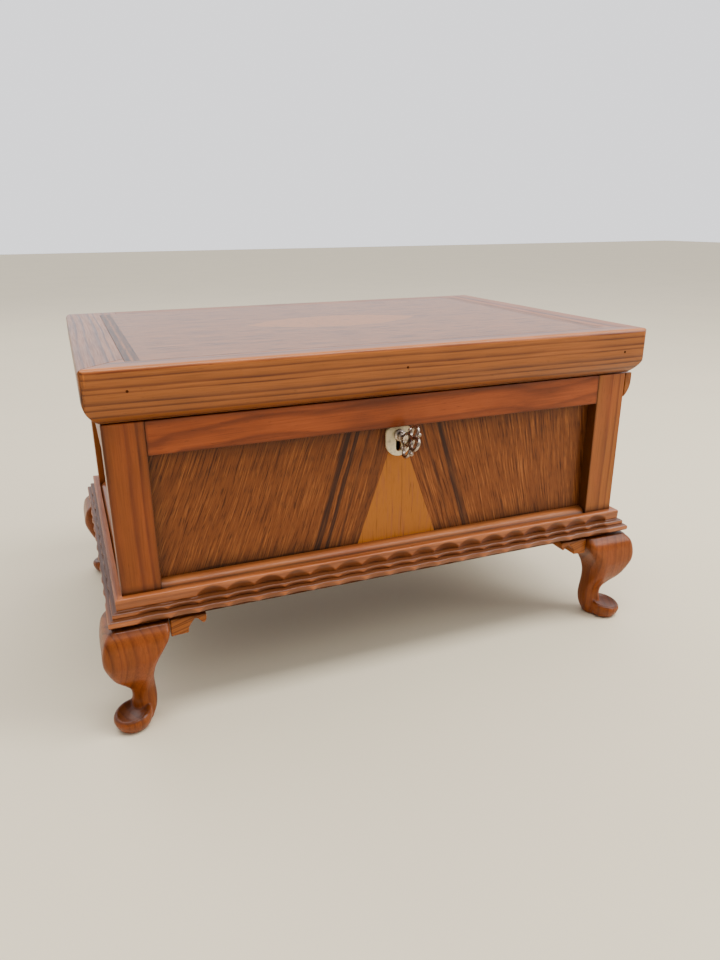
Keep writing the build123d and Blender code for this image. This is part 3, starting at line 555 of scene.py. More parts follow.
def lathe(profile, around, middle=0.0, tilt=0.0):
    """Points and faces of a form turned about Z from (radius, height) points.

    A third value is the share of the tilt that a ring takes towards X and Y."""
    points = []
    for radius, height, *share in profile:
        for k in range(around):
            angle = 2 * math.pi * k / around
            lift = tilt * sum(share) * math.cos(angle - math.pi / 4) * radius
            x, y = middle + radius * math.cos(angle), middle + radius * math.sin(angle)
            points.append((x, y, height + lift))
    return points, tube_faces(len(profile), around)


def outward(mesh):
    """Merges doubles and turns all faces outwards."""
    work = bmesh.new()
    work.from_mesh(mesh)
    bmesh.ops.remove_doubles(work, verts=work.verts, dist=WELD / 2)
    bmesh.ops.recalc_face_normals(work, faces=work.faces)
    work.to_mesh(mesh)
    work.free()
    return mesh


# Legs

# Height, outward reach from the knee's outer planes, inner reach, corner radius, in millimetres
LEG_SECTIONS = (
    (61.0, -1.4, 29.6, 3.0), (60.0, 0.4, 29.6, 3.0), (57.5, 2.9, 29.6, 2.8),
    (53.0, 4.3, 28.6, 3.2), (48.0, 5.2, 25.6, 4.0), (43.0, 5.1, 22.6, 4.6),
    (37.0, 3.2, 20.4, 4.8), (31.0, 0.6, 19.4, 4.9), (25.5, -3.6, 19.4, 4.8),
    (20.0, -7.0, 19.8, 4.7), (15.0, -7.7, 20.2, 4.6), (11.0, -7.2, 20.2, 4.6),
    (6.0, -7.0, 19.4, 4.4), (0.5, -7.0, 17.0, 4.0),
)
LEG_RINGS = 70
CORNER_STEPS = 6
FOOT_MIDDLE = 6.3
# Height of the foot's rim at its middle, and how fast it rises towards the heel
FOOT_RIM = 9.65
FOOT_TILT = 1.75 / 9.0
# Rings of the foot from its sole round its rim and down into its hollow
FOOT_RINGS = (
    (6.0, 0.0, 0), (7.4, 0.25, 0), (8.2, 1.2, 0), (9.3, 3.0, 0), (10.0, 5.0, 0),
    (10.1, FOOT_RIM - 3.1, 0.7), (9.9, FOOT_RIM - 1.5, 0.9), (9.3, FOOT_RIM - 0.45, 1),
    (8.4, FOOT_RIM, 1), (7.5, FOOT_RIM - 0.35, 1), (6.4, FOOT_RIM - 0.9, 0.9),
    (4.4, FOOT_RIM - 1.5, 0.8), (1.5, FOOT_RIM - 1.8, 0.7),
)


def leg_stem():
    """Points and faces of the left front leg's body, from its heel to its knee."""
    table = np.array(LEG_SECTIONS)[::-1]
    heights = np.linspace(table[0, 0], table[-1, 0], LEG_RINGS)
    reach, inner, corner = (np.interp(heights, table[:, 0], table[:, k]) for k in (1, 2, 3))
    soft = np.ones(5) / 5
    for values in (reach, inner):
        values[:] = np.convolve(np.pad(values, 2, mode="edge"), soft, mode="valid")
    points = []
    for z, out, high, r in zip(heights, reach, inner, corner):
        near, far = r - out, high - r
        for x, y, start in ((far, far, 0), (near, far, 90), (near, near, 180), (far, near, 270)):
            for i in range(CORNER_STEPS):
                angle = math.radians(start + 90 * i / (CORNER_STEPS - 1))
                points.append((x + r * math.cos(angle), y + r * math.sin(angle), z))
    return points, tube_faces(len(heights), 4 * CORNER_STEPS)


def carved_leg():
    """Left front leg in metres at its place: stem and foot carved into one skin."""
    points, faces = leg_stem()
    foot_points, foot_faces = lathe(FOOT_RINGS, 56, FOOT_MIDDLE, FOOT_TILT)
    faces += [tuple(i + len(points) for i in face) for face in foot_faces]
    corner = Vector((-KNEE_X, MIDDLE_Y - KNEE_Y, 0))
    place = [corner + Vector(p) * MM for p in points + foot_points]
    made = plain_object("leg_blank", mesh_from("leg_blank", place, faces))
    skinned(made, SIZES["grain"], 4)
    for vertex in made.data.vertices:
        vertex.co.z = min(max(vertex.co.z, 0.0), LEG_TOP)
    return made


def mirrored(source, name, flip_x, flip_y):
    """A copy on another corner of the box, with its faces outwards."""
    mesh = source.data.copy()
    mesh.name = name
    scale = Matrix.Diagonal((-1 if flip_x else 1, -1 if flip_y else 1, 1, 1))
    middle = Matrix.Translation((0, MIDDLE_Y, 0))
    mesh.transform(middle @ scale @ middle.inverted())
    if flip_x != flip_y:
        mesh.flip_normals()
    return plain_object(name, mesh)


# Base moulding

# Outline of the moulding in (outward, up), in millimetres, from the top of its back round to it
MOULDING_OUTLINE = (
    (0.0, 13.4), (2.4, 13.4), (3.2, 13.3), (3.6, 12.95), (3.7, 12.3), (3.7, 10.5), (3.6, 8.6),
    (3.5, 7.4), (3.5, 7.0), (4.6, 6.95), (5.5, 6.85), (5.95, 6.5), (6.1, 5.9), (6.1, 5.0),
    (5.95, 4.3), (6.0, 4.0), (7.1, 3.9), (7.9, 3.7), (8.35, 3.2), (8.5, 2.5), (8.5, 1.3),
    (8.2, 0.5), (7.4, 0.0), (0.0, 0.0),
)
OUTLINE_STEP = 0.3
CARVED_STEP = 0.45 * MM
# Rows of scoops: height of their arch, height that they run out at, share of the depth and
# radius of the gouge, in millimetres
SCOOP_ROWS = ((12.9, 7.05, 1.0, 30.0), (8.0, 4.05, 0.9, 30.0), (5.2, 0.2, 0.75, 36.0))
# Side, length, turn in degrees and reach from the middle, the places in millimetres along it
# that the top and the lower rows of scoops start after and all of them end before, and seed
MOULDING_SIDES = (
    ("front", 2 * HALF_WIDTH, 0, HALF_DEPTH, -112, -143, 145, 3),
    ("left", 2 * HALF_DEPTH, -90, HALF_WIDTH, -86, -86, 86, 4),
    ("right", 2 * HALF_DEPTH, 90, HALF_WIDTH, -86, -86, 86, 5),
    ("back", 2 * HALF_WIDTH, 180, HALF_DEPTH, 0, 0, 0, 6),
)


def smooth_outline(points, rounds=2):
    """Cuts the corners of an open outline, keeps its two ends and spaces its points evenly."""
    line = [np.array(p, float) for p in points]
    for _ in range(rounds):
        cut = [line[0]]
        for a, b in zip(line, line[1:]):
            cut += [0.75 * a + 0.25 * b, 0.25 * a + 0.75 * b]
        line = cut + [line[-1]]
    line = np.array(line)
    far = np.concatenate([[0.0], np.cumsum(np.linalg.norm(np.diff(line, axis=0), axis=1))])
    even = np.linspace(0.0, far[-1], int(far[-1] / OUTLINE_STEP) + 1)
    return list(zip(np.interp(even, far, line[:, 0]), np.interp(even, far, line[:, 1])))


def moulding_blank(name, run, step):
    """Uncarved moulding along X, mitred at both ends, with its heights kept as an attribute."""
    outline = smooth_outline(MOULDING_OUTLINE)
    columns = max(2, int(run / step))
    points, heights = [], []
    for i in range(columns + 1):
        share = 2 * i / columns - 1
        for out, height in outline:
            points.append((share * (run / 2 + out * MM), -out * MM, height * MM))
            heights.append(height)
    mesh = mesh_from(name, points, tube_faces(columns + 1, len(outline)))
    attribute = mesh.attributes.new("height_mm", "FLOAT", "POINT")
    attribute.data.foreach_set("value", np.array(heights, np.float32))
    return mesh


def new_tree(name, numbers, **others):
    """A Geometry Nodes tree with named inputs, its adder of nodes, its inputs and its end."""
    tree = bpy.data.node_groups.new(name, "GeometryNodeTree")
    tree.interface.new_socket("Geometry", in_out="OUTPUT", socket_type="NodeSocketGeometry")
    kinds = {"Geometry": "Geometry", **dict.fromkeys(numbers, "Float"), **others}
    for label, kind in kinds.items():
        tree.interface.new_socket(label, in_out="INPUT", socket_type=f"NodeSocket{kind}")
    add = partial(node, tree)
    return tree, add, add("NodeGroupInput").outputs, add("NodeGroupOutput")


def scoop_tree():
    """Cuts rows of gouge scoops into the reeds of a moulding, each deepest at its reed's foot."""
    tree, add, given, end = new_tree(
        "carved_scoops", ("Pitch", "Depth", "First", "Lower first", "Last"), Seed="Int",
        Material="Material",
    )
    pitch, deepest = given["Pitch"], given["Depth"]
    place = add(SEPARATE, {0: add("GeometryNodeInputPosition")})
    height = add("GeometryNodeInputNamedAttribute", {"Name": "height_mm"}, data_type="FLOAT")
    turns = add(MATH, {0: place, 1: pitch}, operation="DIVIDE")
    # Scoops stand on whole pitches, and their numbers stay above nought
    turns = add(MATH, {0: turns, 1: 100.5}, operation="ADD")
    number = add(MATH, {0: turns}, operation="FLOOR")
    number = add("FunctionNodeFloatToInt", {0: number}, rounding_mode="ROUND")
    offset = add(MATH, {0: turns}, operation="FRACT")
    offset = add(MATH, {0: offset, 1: 0.5}, operation="SUBTRACT")
    offset = add(MATH, {0: offset, 1: pitch}, operation="MULTIPLY")
    square = add(MATH, {0: offset, 1: offset}, operation="MULTIPLY")
    middle = add(MATH, {0: place, 1: offset}, operation="SUBTRACT")
    before_last = add(MATH, {0: middle, 1: given["Last"]}, operation="LESS_THAN")
    # The flat back at Y = 0 stays where it is
    front = add(MATH, {0: place.outputs[1], 1: -0.5 * MM}, operation="LESS_THAN")
    geometry, stained = given["Geometry"], None
    for row, (arch, foot, share, radius) in enumerate(SCOOP_ROWS):
        seed = add(MATH, {0: given["Seed"], 1: 10.0 * row}, operation="ADD")
        uneven = {"Min": 0.78 * share, "Max": 1.08 * share, "ID": number, "Seed": seed}
        uneven = add("FunctionNodeRandomValue", uneven, data_type="FLOAT")
        fall = add(SPAN, {"Value": height, "From Min": arch, "From Max": foot})
        depth = add(MATH, {0: fall, 1: deepest}, operation="MULTIPLY")
        depth = add(MATH, {0: depth, 1: uneven}, operation="MULTIPLY")
        depth = {0: square, 1: -0.5 / (radius * MM), 2: depth}
        depth = add(MATH, depth, operation="MULTIPLY_ADD")
        depth = add(MATH, {0: depth, 1: 0.0}, operation="MAXIMUM")
        first = given["Lower first" if row else "First"]
        past_first = add(MATH, {0: middle, 1: first}, operation="GREATER_THAN")
        above = add(MATH, {0: height, 1: foot}, operation="GREATER_THAN")
        for test in (past_first, before_last, above):
            depth = add(MATH, {0: depth, 1: test}, operation="MULTIPLY")
        # Darkest in the cuts, with pooled stain and painted shade, and in the grooves below the
        # reeds, with painted shade
        away = add(MATH, {0: height, 1: foot}, operation="SUBTRACT")
        away = add(MATH, {0: away}, operation="ABSOLUTE")
        groove_shade = {"From Min": 0.2, "From Max": 0.9, "To Min": 0.9, "To Max": 0.0}
        groove_shade = add(SPAN, {"Value": away, **groove_shade})
        cut = add(MATH, {0: depth, 1: deepest}, operation="DIVIDE")
        cut = add(MATH, {0: cut, 1: groove_shade}, operation="MAXIMUM")
        stained = add(MATH, {0: stained, 1: cut}, operation="MAXIMUM") if stained else cut
        inward = add(VECTOR_MATH, {0: (0.0, 1.0, 0.0), "Scale": depth}, operation="SCALE")
        geometry = {"Geometry": geometry, "Offset": inward, "Selection": front}
        geometry = add("GeometryNodeSetPosition", geometry)
    # Kept as the cut attribute, which darkens the wood's colour with pooled stain and painted
    # shade
    geometry = {"Geometry": geometry, "Name": "cut", "Value": stained}
    geometry = add("GeometryNodeStoreNamedAttribute", geometry)
    geometry = add(REALIZE, {0: geometry})
    connect(end, {0: add(SET_MATERIAL, {"Geometry": geometry, "Material": given["Material"]})})
    return tree


def grown(made, tree, values):
    """Runs a Geometry Nodes tree on an object and keeps the result as its mesh."""
    modifier = made.modifiers.new("grow", "NODES")
    modifier.node_group = tree
    for item in tree.interface.items_tree:
        if item.in_out == "INPUT" and item.name in values:
            modifier[item.identifier] = values[item.name]
    return settled(made)


# Screws, nails and key


def peg_tree(slotted=True):
    """Round heads, plain or with a sawn slot, one on each point, each turned its own way."""
    tree, add, given, end = new_tree(
        "slotted_heads" if slotted else "plain_heads", ("Radius", "Rise", "Slot"), Seed="Int",
        Material="Material",
    )
    head = {"Vertices": 24, "Radius": given["Radius"], "Depth": given["Rise"]}
    head = add("GeometryNodeMeshCylinder", head)
    if slotted:
        size = add(COMBINE, {0: 1.0, 1: given["Slot"], 2: given["Rise"]})
        slot = add("GeometryNodeMeshCube", {"Size": size})
        lift = add(MATH, {0: given["Rise"], 1: 0.55}, operation="MULTIPLY")
        slot = add(MOVE, {"Geometry": slot, "Translation": add(COMBINE, {2: lift})})
        head = add("GeometryNodeMeshBoolean", {0: head, 1: slot}, operation="DIFFERENCE")
    facing = add("GeometryNodeInputNamedAttribute", {"Name": "facing"}, data_type="FLOAT_VECTOR")
    aim = add("FunctionNodeAlignRotationToVector", {"Vector": facing}, axis="Z")
    spin = {"Min": 0.0, "Max": 3.1, "Seed": given["Seed"]}
    spin = add("FunctionNodeRandomValue", spin, data_type="FLOAT")
    spin = {0: aim, 1: add(COMBINE, {2: spin})}
    turn = add("FunctionNodeRotateRotation", spin, rotation_space="LOCAL")
    placed = {"Points": given["Geometry"], "Instance": head, "Rotation": turn}
    real = add(REALIZE, {0: add("GeometryNodeInstanceOnPoints", placed)})
    connect(end, {0: add(SET_MATERIAL, {"Geometry": real, "Material": given["Material"]})})
    return tree


def peg_places(source, facing):
    """Middle of the exposed end of every separate solid in a node."""
    work = bmesh.new()
    work.from_mesh(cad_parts[source].data)
    bmesh.ops.remove_doubles(work, verts=work.verts, dist=WELD)
    left, places = set(work.verts), []
    while left:
        grow, island = [left.pop()], []
        while grow:
            vertex = grow.pop()
            island.append(vertex.co.copy())
            for edge in vertex.link_edges:
                other = edge.other_vert(vertex)
                if other in left:
                    left.remove(other)
                    grow.append(other)
        top = max(p.dot(facing) for p in island)
        rim = [p for p in island if p.dot(facing) > top - 1e-5]
        places.append(sum(rim, Vector()) / len(rim))
    work.free()
    return sorted(places, key=tuple)


def heads(name, places, facing, tree, **values):
    """One object with a head on every place."""
    mesh = mesh_from(name, places, [])
    attribute = mesh.attributes.new("facing", "FLOAT_VECTOR", "POINT")
    attribute.data.foreach_set("vector", list(facing) * len(places))
    return grown(plain_object(name, mesh), tree, values)


# Height of the key's axis and the turn that it rests at
KEY_Z = 142.3 * MM
KEY_ANGLE = math.radians(24.0)
# Key, in millimetres about its own axis: (radius, distance in front of the shield's face)
KEY_STEM = (
    (1.2, -20.2), (2.0, -20.2), (2.2, -20.0), (2.2, 0.2), (2.6, 0.3), (3.4, 0.5), (3.5, 0.9),
    (3.4, 1.5), (2.5, 1.75), (2.1, 2.0), (2.05, 3.9), (2.4, 4.3), (2.95, 4.6), (3.0, 5.1),
    (2.9, 5.6), (2.2, 5.9), (1.9, 6.3), (1.75, 8.2),
)
# Boss in the middle of the bow, and the bow's lobes and beads, in millimetres
BOW_BOSS = ((0.3, -1.3), (2.0, -1.25), (2.6, -0.8), (2.6, 0.8), (2.0, 1.25), (0.3, 1.3))
BOW = {
    "Lobe offset": 5.35, "Lobe radius": 3.3, "Wire radius": 0.98, "Bead offset": 7.9,
    "Bead radius": 1.2,
}
# Distance of its middle in front of the shield, and the cell size of the cast skin
BOW_REACH = 15.0 * MM
KEY_CELL = 0.2 * MM
# The bit's size, and its middle's distance behind the bolt's front and from the key's axis
KEY_BIT = (2.6 * MM, 4.8 * MM, 7.6 * MM)
BIT_BEHIND = 1.0 * MM
BIT_ASIDE = 4.8 * MM


def bow_tree():
    """Four round lobes and four beads about the middle of the key's bow."""
    tree, add, given, end = new_tree("pierced_bow", BOW, Material="Material")
    line, wire = (
        add("GeometryNodeCurvePrimitiveCircle", {"Resolution": count, "Radius": given[radius]},
            mode="RADIUS")
        for count, radius in ((40, "Lobe radius"), (16, "Wire radius"))
    )
    lobe = {"Curve": line, "Profile Curve": wire, "Fill Caps": False}
    lobe = add("GeometryNodeCurveToMesh", lobe)
    ball = {"Radius": given["Bead radius"], "Subdivisions": 3}
    ball = add("GeometryNodeMeshIcoSphere", ball)
    lobe, ball = (
        add(MOVE, {"Geometry": form, "Translation": add(COMBINE, {0: given[offset]})})
        for form, offset in ((lobe, "Lobe offset"), (ball, "Bead offset"))
    )
    quarter = add(JOIN, {0: lobe})
    connect(quarter, {0: add(MOVE, {"Geometry": ball, "Rotation": (0, 0, math.pi / 4)})})
    points = add("GeometryNodeMeshLine", {"Count": 4, "Offset": (0, 0, 0)}, mode="OFFSET")
    index = add("GeometryNodeInputIndex")
    angle = add(MATH, {0: index, 1: math.pi / 2}, operation="MULTIPLY")
    placed = {"Points": points, "Instance": quarter, "Rotation": add(COMBINE, {2: angle})}
    whole = add(JOIN, {0: add(REALIZE, {0: add("GeometryNodeInstanceOnPoints", placed)})})
    connect(whole, {0: given["Geometry"]})
    connect(end, {0: add(SET_MATERIAL, {"Geometry": whole, "Material": given["Material"]})})
    return tree


# Linings

PAD_STEP = 2.0 * MM
PAD_ROUND = 3.2 * MM
PAD_CROWN = 0.12
PAD_EASE = 1.2 * MM
# Node, body, axis that the pad faces along, and which way
PADS = (
    ("lining_floor", "case", 2, 1), ("lining_back", "case", 1, -1), ("lining_left", "case", 0, 1),
    ("lining_right", "case", 0, -1), ("lid_lining", "lid", 2, -1),
)


def pad_mesh(name, low, high, axis, towards):
    """A thin crowned pad in a box: flat at its back, softly rounded towards the inside."""
    spans = [i for i in range(3) if i != axis]
    wide, tall = (high[i] - low[i] for i in spans)
    columns, rows = (max(2, int(size / PAD_STEP)) for size in (wide, tall))
    back = low[axis] if towards > 0 else high[axis]
    deep = (high[axis] - low[axis]) * towards
    points = []
    for layer in (0, 1):
        for j in range(rows + 1):
            for i in range(columns + 1):
                u, v = i / columns, j / rows
                edge = min(u * wide, (1 - u) * wide, v * tall, (1 - v) * tall)
                soft = math.sqrt(max(0.0, 1 - (1 - min(1, edge / PAD_ROUND)) ** 2))
                bulge = (math.sin(math.pi * u) * math.sin(math.pi * v)) ** 0.35
                share = layer * (0.45 + 0.55 * soft) * (1 - PAD_CROWN + PAD_CROWN * bulge)
                point = [0.0, 0.0, 0.0]
                point[spans[0]] = low[spans[0]] + u * wide
                point[spans[1]] = low[spans[1]] + v * tall
                point[axis] = back + deep * share
                points.append(point)
    row = columns + 1
    around = row * (rows + 1)
    faces = []
    for start in (0, around):
        for j in range(rows):
            for i in range(columns):
                a = start + j * row + i
                faces.append((a, a + 1, a + row + 1, a + row))
    rim = list(range(row))
    rim += [(j + 1) * row + columns for j in range(rows)]
    rim += [rows * row + i for i in reversed(range(columns))]
    rim += [j * row for j in reversed(range(1, rows))]
    faces += [(a, b, b + around, a + around) for a, b in zip(rim, rim[1:] + rim[:1])]
    return outward(mesh_from(name, points, faces))


# Operators

HONEY = ("honey", "honey_line")
RED = ("red", "red_line")
LEG = ("leg", "leg_line")
BEAD = ("bead", "honey_line")
MOULDING = ("moulding", "red_line")
WALNUT = ("walnut_dark", "walnut", "walnut_light")
FIELD = ("walnut_dark", "lid_field", "walnut_light")
GOLDEN = ("walnut_light", "golden", "golden")
# Where each post's heart lies across its grain, in millimetres
POST_HEARTS = {
    "front_left": (118.0, -45.0), "front_right": (-190.0, -30.0),
    "back_left": (150.0, 30.0), "back_right": (-140.0, 60.0),
}
# How far a leg's heart lies inwards of its knee's outer planes, in millimetres
LEG_HEART_X, LEG_HEART_Y = 260.0, 120.0
EAR_EASE = 0.9 * MM
# Planes near which painted shade darkens the wood, where shade falls in creases, under the lid
# and below the moulding, with some dirt in the corners, as (axis, place, reach) in millimetres
POST_SHADE_AND_DIRT = ((0, -133.0, 1.4), (0, 133.0, 1.4), (2, 77.0, 4.0))
RAIL_SHADE_AND_DIRT = ((2, 148.4, 1.6), (2, 166.5, 4.0), (0, -133.0, 1.5), (0, 133.0, 1.5))
BEAD_SHADE_AND_DIRT = ((0, -134.0, 9.0), (0, 134.0, 6.0), (2, 76.6, 1.3), (2, 79.8, 0.9))
KNEE_GAP_SHADE = ((2, 61.5, 3.0),)
LID_UNDERSIDE_SHADE = ((2, 166.0, 6.0),)


class BuildFrame(bpy.types.Operator):
    """Posts, rails, beads, side strip, side and back panels and bottom board"""

    bl_idname = "jewelry_box.case_frame"
    bl_label = "Case frame"

    def execute(self, context):
        rows = []
        for seed, (corner, heart) in enumerate(POST_HEARTS.items()):
            # The front left post is given darker tones than the others
            tones = LEG if corner == "front_left" else HONEY
            wood = pine(f"pine_post_{corner}", "Z", heart, 5.2, *tones, seed, wander=1.5,
                        blush="red", depth=0.9, shade_and_dirt=POST_SHADE_AND_DIRT)
            rows.append((f"post_{corner}", f"case_post_{corner}", "case", "pine_case", wood))
        front = pine("red_pine_rail_front", "X", (-118.0, 128.0), 9.0, *RED, seed=5, wander=7.0,
                     blush="red_line", depth=0.6, tilt=1.5, knots=((59.0, 22.0, 24.0, 16.0, 5.0),),
                     shade_and_dirt=RAIL_SHADE_AND_DIRT)
        back = pine("red_pine_rail_back", "X", (60.0, 120.0), 7.0, *RED, seed=6, wander=3.0)
        side = pine("red_pine_rail_side", "Y", (30.0, 120.0), 7.0, *RED, seed=7, wander=3.0)
        for end, wood in (("front", front), ("back", back), ("left", side), ("right", side)):
            rows.append((f"rail_top_{end}", f"case_rail_{end}", "case", "pine_red", wood))
        front = pine("pine_bead_front", "X", (-60.0, 40.0), 5.0, *BEAD, seed=8, blush="red",
                     depth=0.5, gloss=0.12, shade_and_dirt=BEAD_SHADE_AND_DIRT)
        side = pine("pine_bead_side", "Y", (60.0, 40.0), 5.0, *BEAD, seed=9, blush="red",
                    depth=0.5, gloss=0.3)
        for end, wood in (("front", front), ("left", side), ("right", side)):
            rows.append((f"bead_{end}", f"case_bead_{end}", "case", "pine_case", wood))
        strip = pine("pine_side_strip", "Y", (-120.0, 135.0), 4.5, *HONEY, seed=10, depth=0.3)
        back = pine("pine_back_panel", "X", (60.0, 20.0), 6.0, *HONEY, seed=11, wander=3.0,
                    depth=0.7)
        # Painted shade: the board shows only in the shaded gap between the moulding and the legs
        stained = pine("stained_bottom_board", "X", (0.0, -40.0), 6.0, "gap_shade_board", "stripe",
                       seed=15, wander=3.0, gloss=0.0)
        # Only the walls of the keyhole show, and they are painted black as the shade inside the
        # hole
        board = pine("grimy_inner_board", "X", (0.0, -40.0), 6.0, "stripe", "stripe", seed=12,
                     wander=3.0, gloss=0.0)
        sheet = veneer("walnut_side_panel", (0, 1, 0.1), (0, 0, 1), WALNUT, 1.1)
        rows += [
            ("side_strip_right", "case_side_strip", "case", "pine_case", strip),
            ("panel_back", "case_panel_back", "case", "pine_case", back),
            ("bottom_board", "case_bottom_board", "case", "panel_core", stained),
            ("panel_front", "case_panel_front", "case", "panel_core", board),
            ("panel_left", "case_panel_left", "case", "walnut_veneer", sheet),
            ("panel_right", "case_panel_right", "case", "walnut_veneer", sheet),
        ]
        eased_pieces(rows, SIZES["ease"])
        return {"FINISHED"}


# Height at which the front veneers' stripes were measured, in millimetres
FAN_HEIGHT = 144.0
# Dark stripes as (from, to, darkness), in millimetres across the sheet
LEFT_BANDS = ((-28.6, -25.6, 0.95), (-22.6, -20.6, 0.95), (-15.4, -14.6, 0.7), (-8.0, -3.0, 0.3))
RIGHT_BANDS = (
    (10.5, 12.0, 0.35), (18.0, 19.2, 0.55), (24.0, 25.2, 0.35), (27.8, 30.4, 0.95),
    (30.8, 33.0, 0.5),
)
STRING_BANDS = (
    (-137.9, -135.6, 0.9), (-133.7, -131.2, 0.8), (131.2, 133.7, 0.3), (135.6, 137.9, 0.3),
)


class BuildFrontVeneers(bpy.types.Operator):
    """Left and right striped sheets and the light wedge between them"""

    bl_idname = "jewelry_box.front_veneers"
    bl_label = "Front veneers"

    def execute(self, context):
        corner = (VENEER_LOW.x / MM, VENEER_RIGHT / MM, BEAD_TOP / MM, VENEER_HIGH.z / MM)
        left = veneer(
            "walnut_sheet_left", (1, 0, 0), (0, 0, 1), WALNUT, 0.85,
            fan=(0.268, 0.0014, FAN_HEIGHT), bands=LEFT_BANDS, band_range=(-130.0, 5.0),
            corner=corner, contrast=0.72,
        )
        right = veneer(
            "walnut_sheet_right", (1, 0, 0), (0, 0, 1), WALNUT, 1.0,
            fan=(-0.3445, -0.00166, FAN_HEIGHT), bands=RIGHT_BANDS, band_range=(5.0, 140.0),
            corner=corner, contrast=0.9, pores=0.6,
        )
        wedge = veneer(
            "golden_wedge", (1, 0, 0.02), (0, 0, 1), GOLDEN, 1.6, cracks=True, pores=0.15
        )
        for part, material in (("left", left), ("right", right), ("wedge", wedge)):
            finish_node(f"veneer_front_{part}", material)
        return {"FINISHED"}


class BuildMoulding(bpy.types.Operator):
    """Carved base moulding on the front and sides, and the plain one at the back"""

    bl_idname = "jewelry_box.base_moulding"
    bl_label = "Base moulding"

    def execute(self, context):
        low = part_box("base_moulding_front")[0].z
        tree = scoop_tree()
        front_wood = pine("red_pine_moulding_front", "X", (-60.0, 30.0), 6.0, *MOULDING, seed=13,
                          wander=3.0, blush="leg", depth=0.6, gloss=0.6, carved=True)
        side_wood = pine("red_pine_moulding_side", "Y", (60.0, 30.0), 6.0, *MOULDING, seed=14,
                         wander=3.0, blush="leg", depth=0.6, gloss=0.05, carved=True)
        for side, run, turn, reach, first, lower_first, last, seed in MOULDING_SIDES:
            name = f"carved_moulding_{side}"
            step = run / 2 if side == "back" else CARVED_STEP
            wood = front_wood if side in ("front", "back") else side_wood
            made = plain_object(name, moulding_blank(name, run, step))
            grown(made, tree, {
                "Pitch": SIZES["scoop_pitch"], "Depth": SIZES["scoop_depth"], "First": first * MM,
                "Lower first": lower_first * MM, "Last": last * MM, "Seed": seed,
                "Material": wood,
            })
            made.data.transform(Matrix.Translation((0, -reach, low)))
            made.data.transform(Matrix.Rotation(math.radians(turn), 4, "Z"))
            made.data.transform(Matrix.Translation((0, MIDDLE_Y, 0)))
            outward(made.data)
            smooth_faces(made.data, 50)
            dressed(made, "case", "pine_red", wood, f"base_moulding_{side}")
        return {"FINISHED"}


class BuildLegs(bpy.types.Operator):
    """Four carved legs and the ears beside their knees"""

    bl_idname = "jewelry_box.legs"
    bl_label = "Legs and ears"

    def execute(self, context):
        blank = carved_leg()
        for index, corner in enumerate(POST_HEARTS):
            end, side = corner.split("_")
            # The heart lies inwards of the knee, so that the lines bulge with it
            x = (KNEE_X / MM - LEG_HEART_X) * (1 if side == "right" else -1)
            y = MIDDLE_Y / MM + (KNEE_Y / MM - LEG_HEART_Y) * (1 if end == "back" else -1)
            wood = pine(f"pine_leg_{corner}", "Z", (y, -x), 4.2, *LEG, seed=20 + index,
                        wander=1.2, blush="red", depth=0.65, pooled_stain_and_shade=True, shade_and_dirt=KNEE_GAP_SHADE)
            made = mirrored(blank, f"carved_leg_{corner}", side == "right", end == "back")
            smooth_faces(made.data)
            dressed(made, "case", "pine_legs", wood, f"leg_{corner}")
            ears = f"ears_{corner}"
            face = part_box(ears)[0 if end == "front" else 1].y / MM
            wood = pine(f"pine_{ears}", "X", (face, 90.0), 2.4, "ear", "leg_line",
                        seed=30 + index, tilt=16.0, depth=0.8, shade_and_dirt=KNEE_GAP_SHADE)
            eased_pieces([(ears, f"carved_{ears}", "case", "pine_legs", wood)], EAR_EASE, 4)
        bpy.data.objects.remove(blank)
        return {"FINISHED"}


class BuildLid(bpy.types.Operator):
    """Rails, field, strings, inlay and panel of the lid"""

    bl_idname = "jewelry_box.lid"
    bl_label = "Lid"

    def execute(self, context):
        front = pine("pine_lid_front", "X", (-104.0, 235.0), 3.6, *HONEY, seed=40, wander=0.9,
                     blush="bead", gloss=0.35, coat_rough=0.2, shade_and_dirt=LID_UNDERSIDE_SHADE, painted_arris_highlight=True)
        left = pine("pine_lid_left", "Y", (215.0, 200.0), 5.0, *HONEY, seed=41, wander=2.0,
                    gloss=0.3, shade_and_dirt=LID_UNDERSIDE_SHADE)
        right = pine("pine_lid_right", "Y", (-175.0, 240.0), 5.5, *HONEY, seed=42, wander=2.0,
                     blush="red")
        back = pine("pine_lid_back", "X", (110.0, 240.0), 4.5, *HONEY, seed=43, wander=2.0)
        rails = (("front", front), ("left", left), ("right", right), ("back", back))
        eased_pieces(
            [(f"lid_rail_{side}", f"lid_{side}_rail", "lid", "pine_lid", wood)
             for side, wood in rails],
            SIZES["ease"],
        )
        across, along = (0, 1, 0), (1, 0, 0)
        field = veneer("lid_field_sheet", across, along, FIELD, 0.7, gloss=0.28, coat_rough=0.2,
                       contrast=1.5, pores=0.5)
        strings = veneer("dark_string_sheet", along, across, FIELD, 1.4, bands=STRING_BANDS,
                         band_range=(-140.0, 140.0), gloss=0.12, coat_rough=0.2)
        oval = veneer("golden_oval", across, along, GOLDEN, 1.6, gloss=0.28, coat_rough=0.2)
        plain = pine("pine_lid_panel", "X", (0.0, 120.0), 6.0, "raw_board", "honey", seed=44,
                     gloss=0.0)
        finish_node("lid_veneer_field", field)
        finish_node("lid_strings", strings)
        finish_node("lid_oval_inlay", oval)
        finish_node("lid_panel", plain)
        return {"FINISHED"}


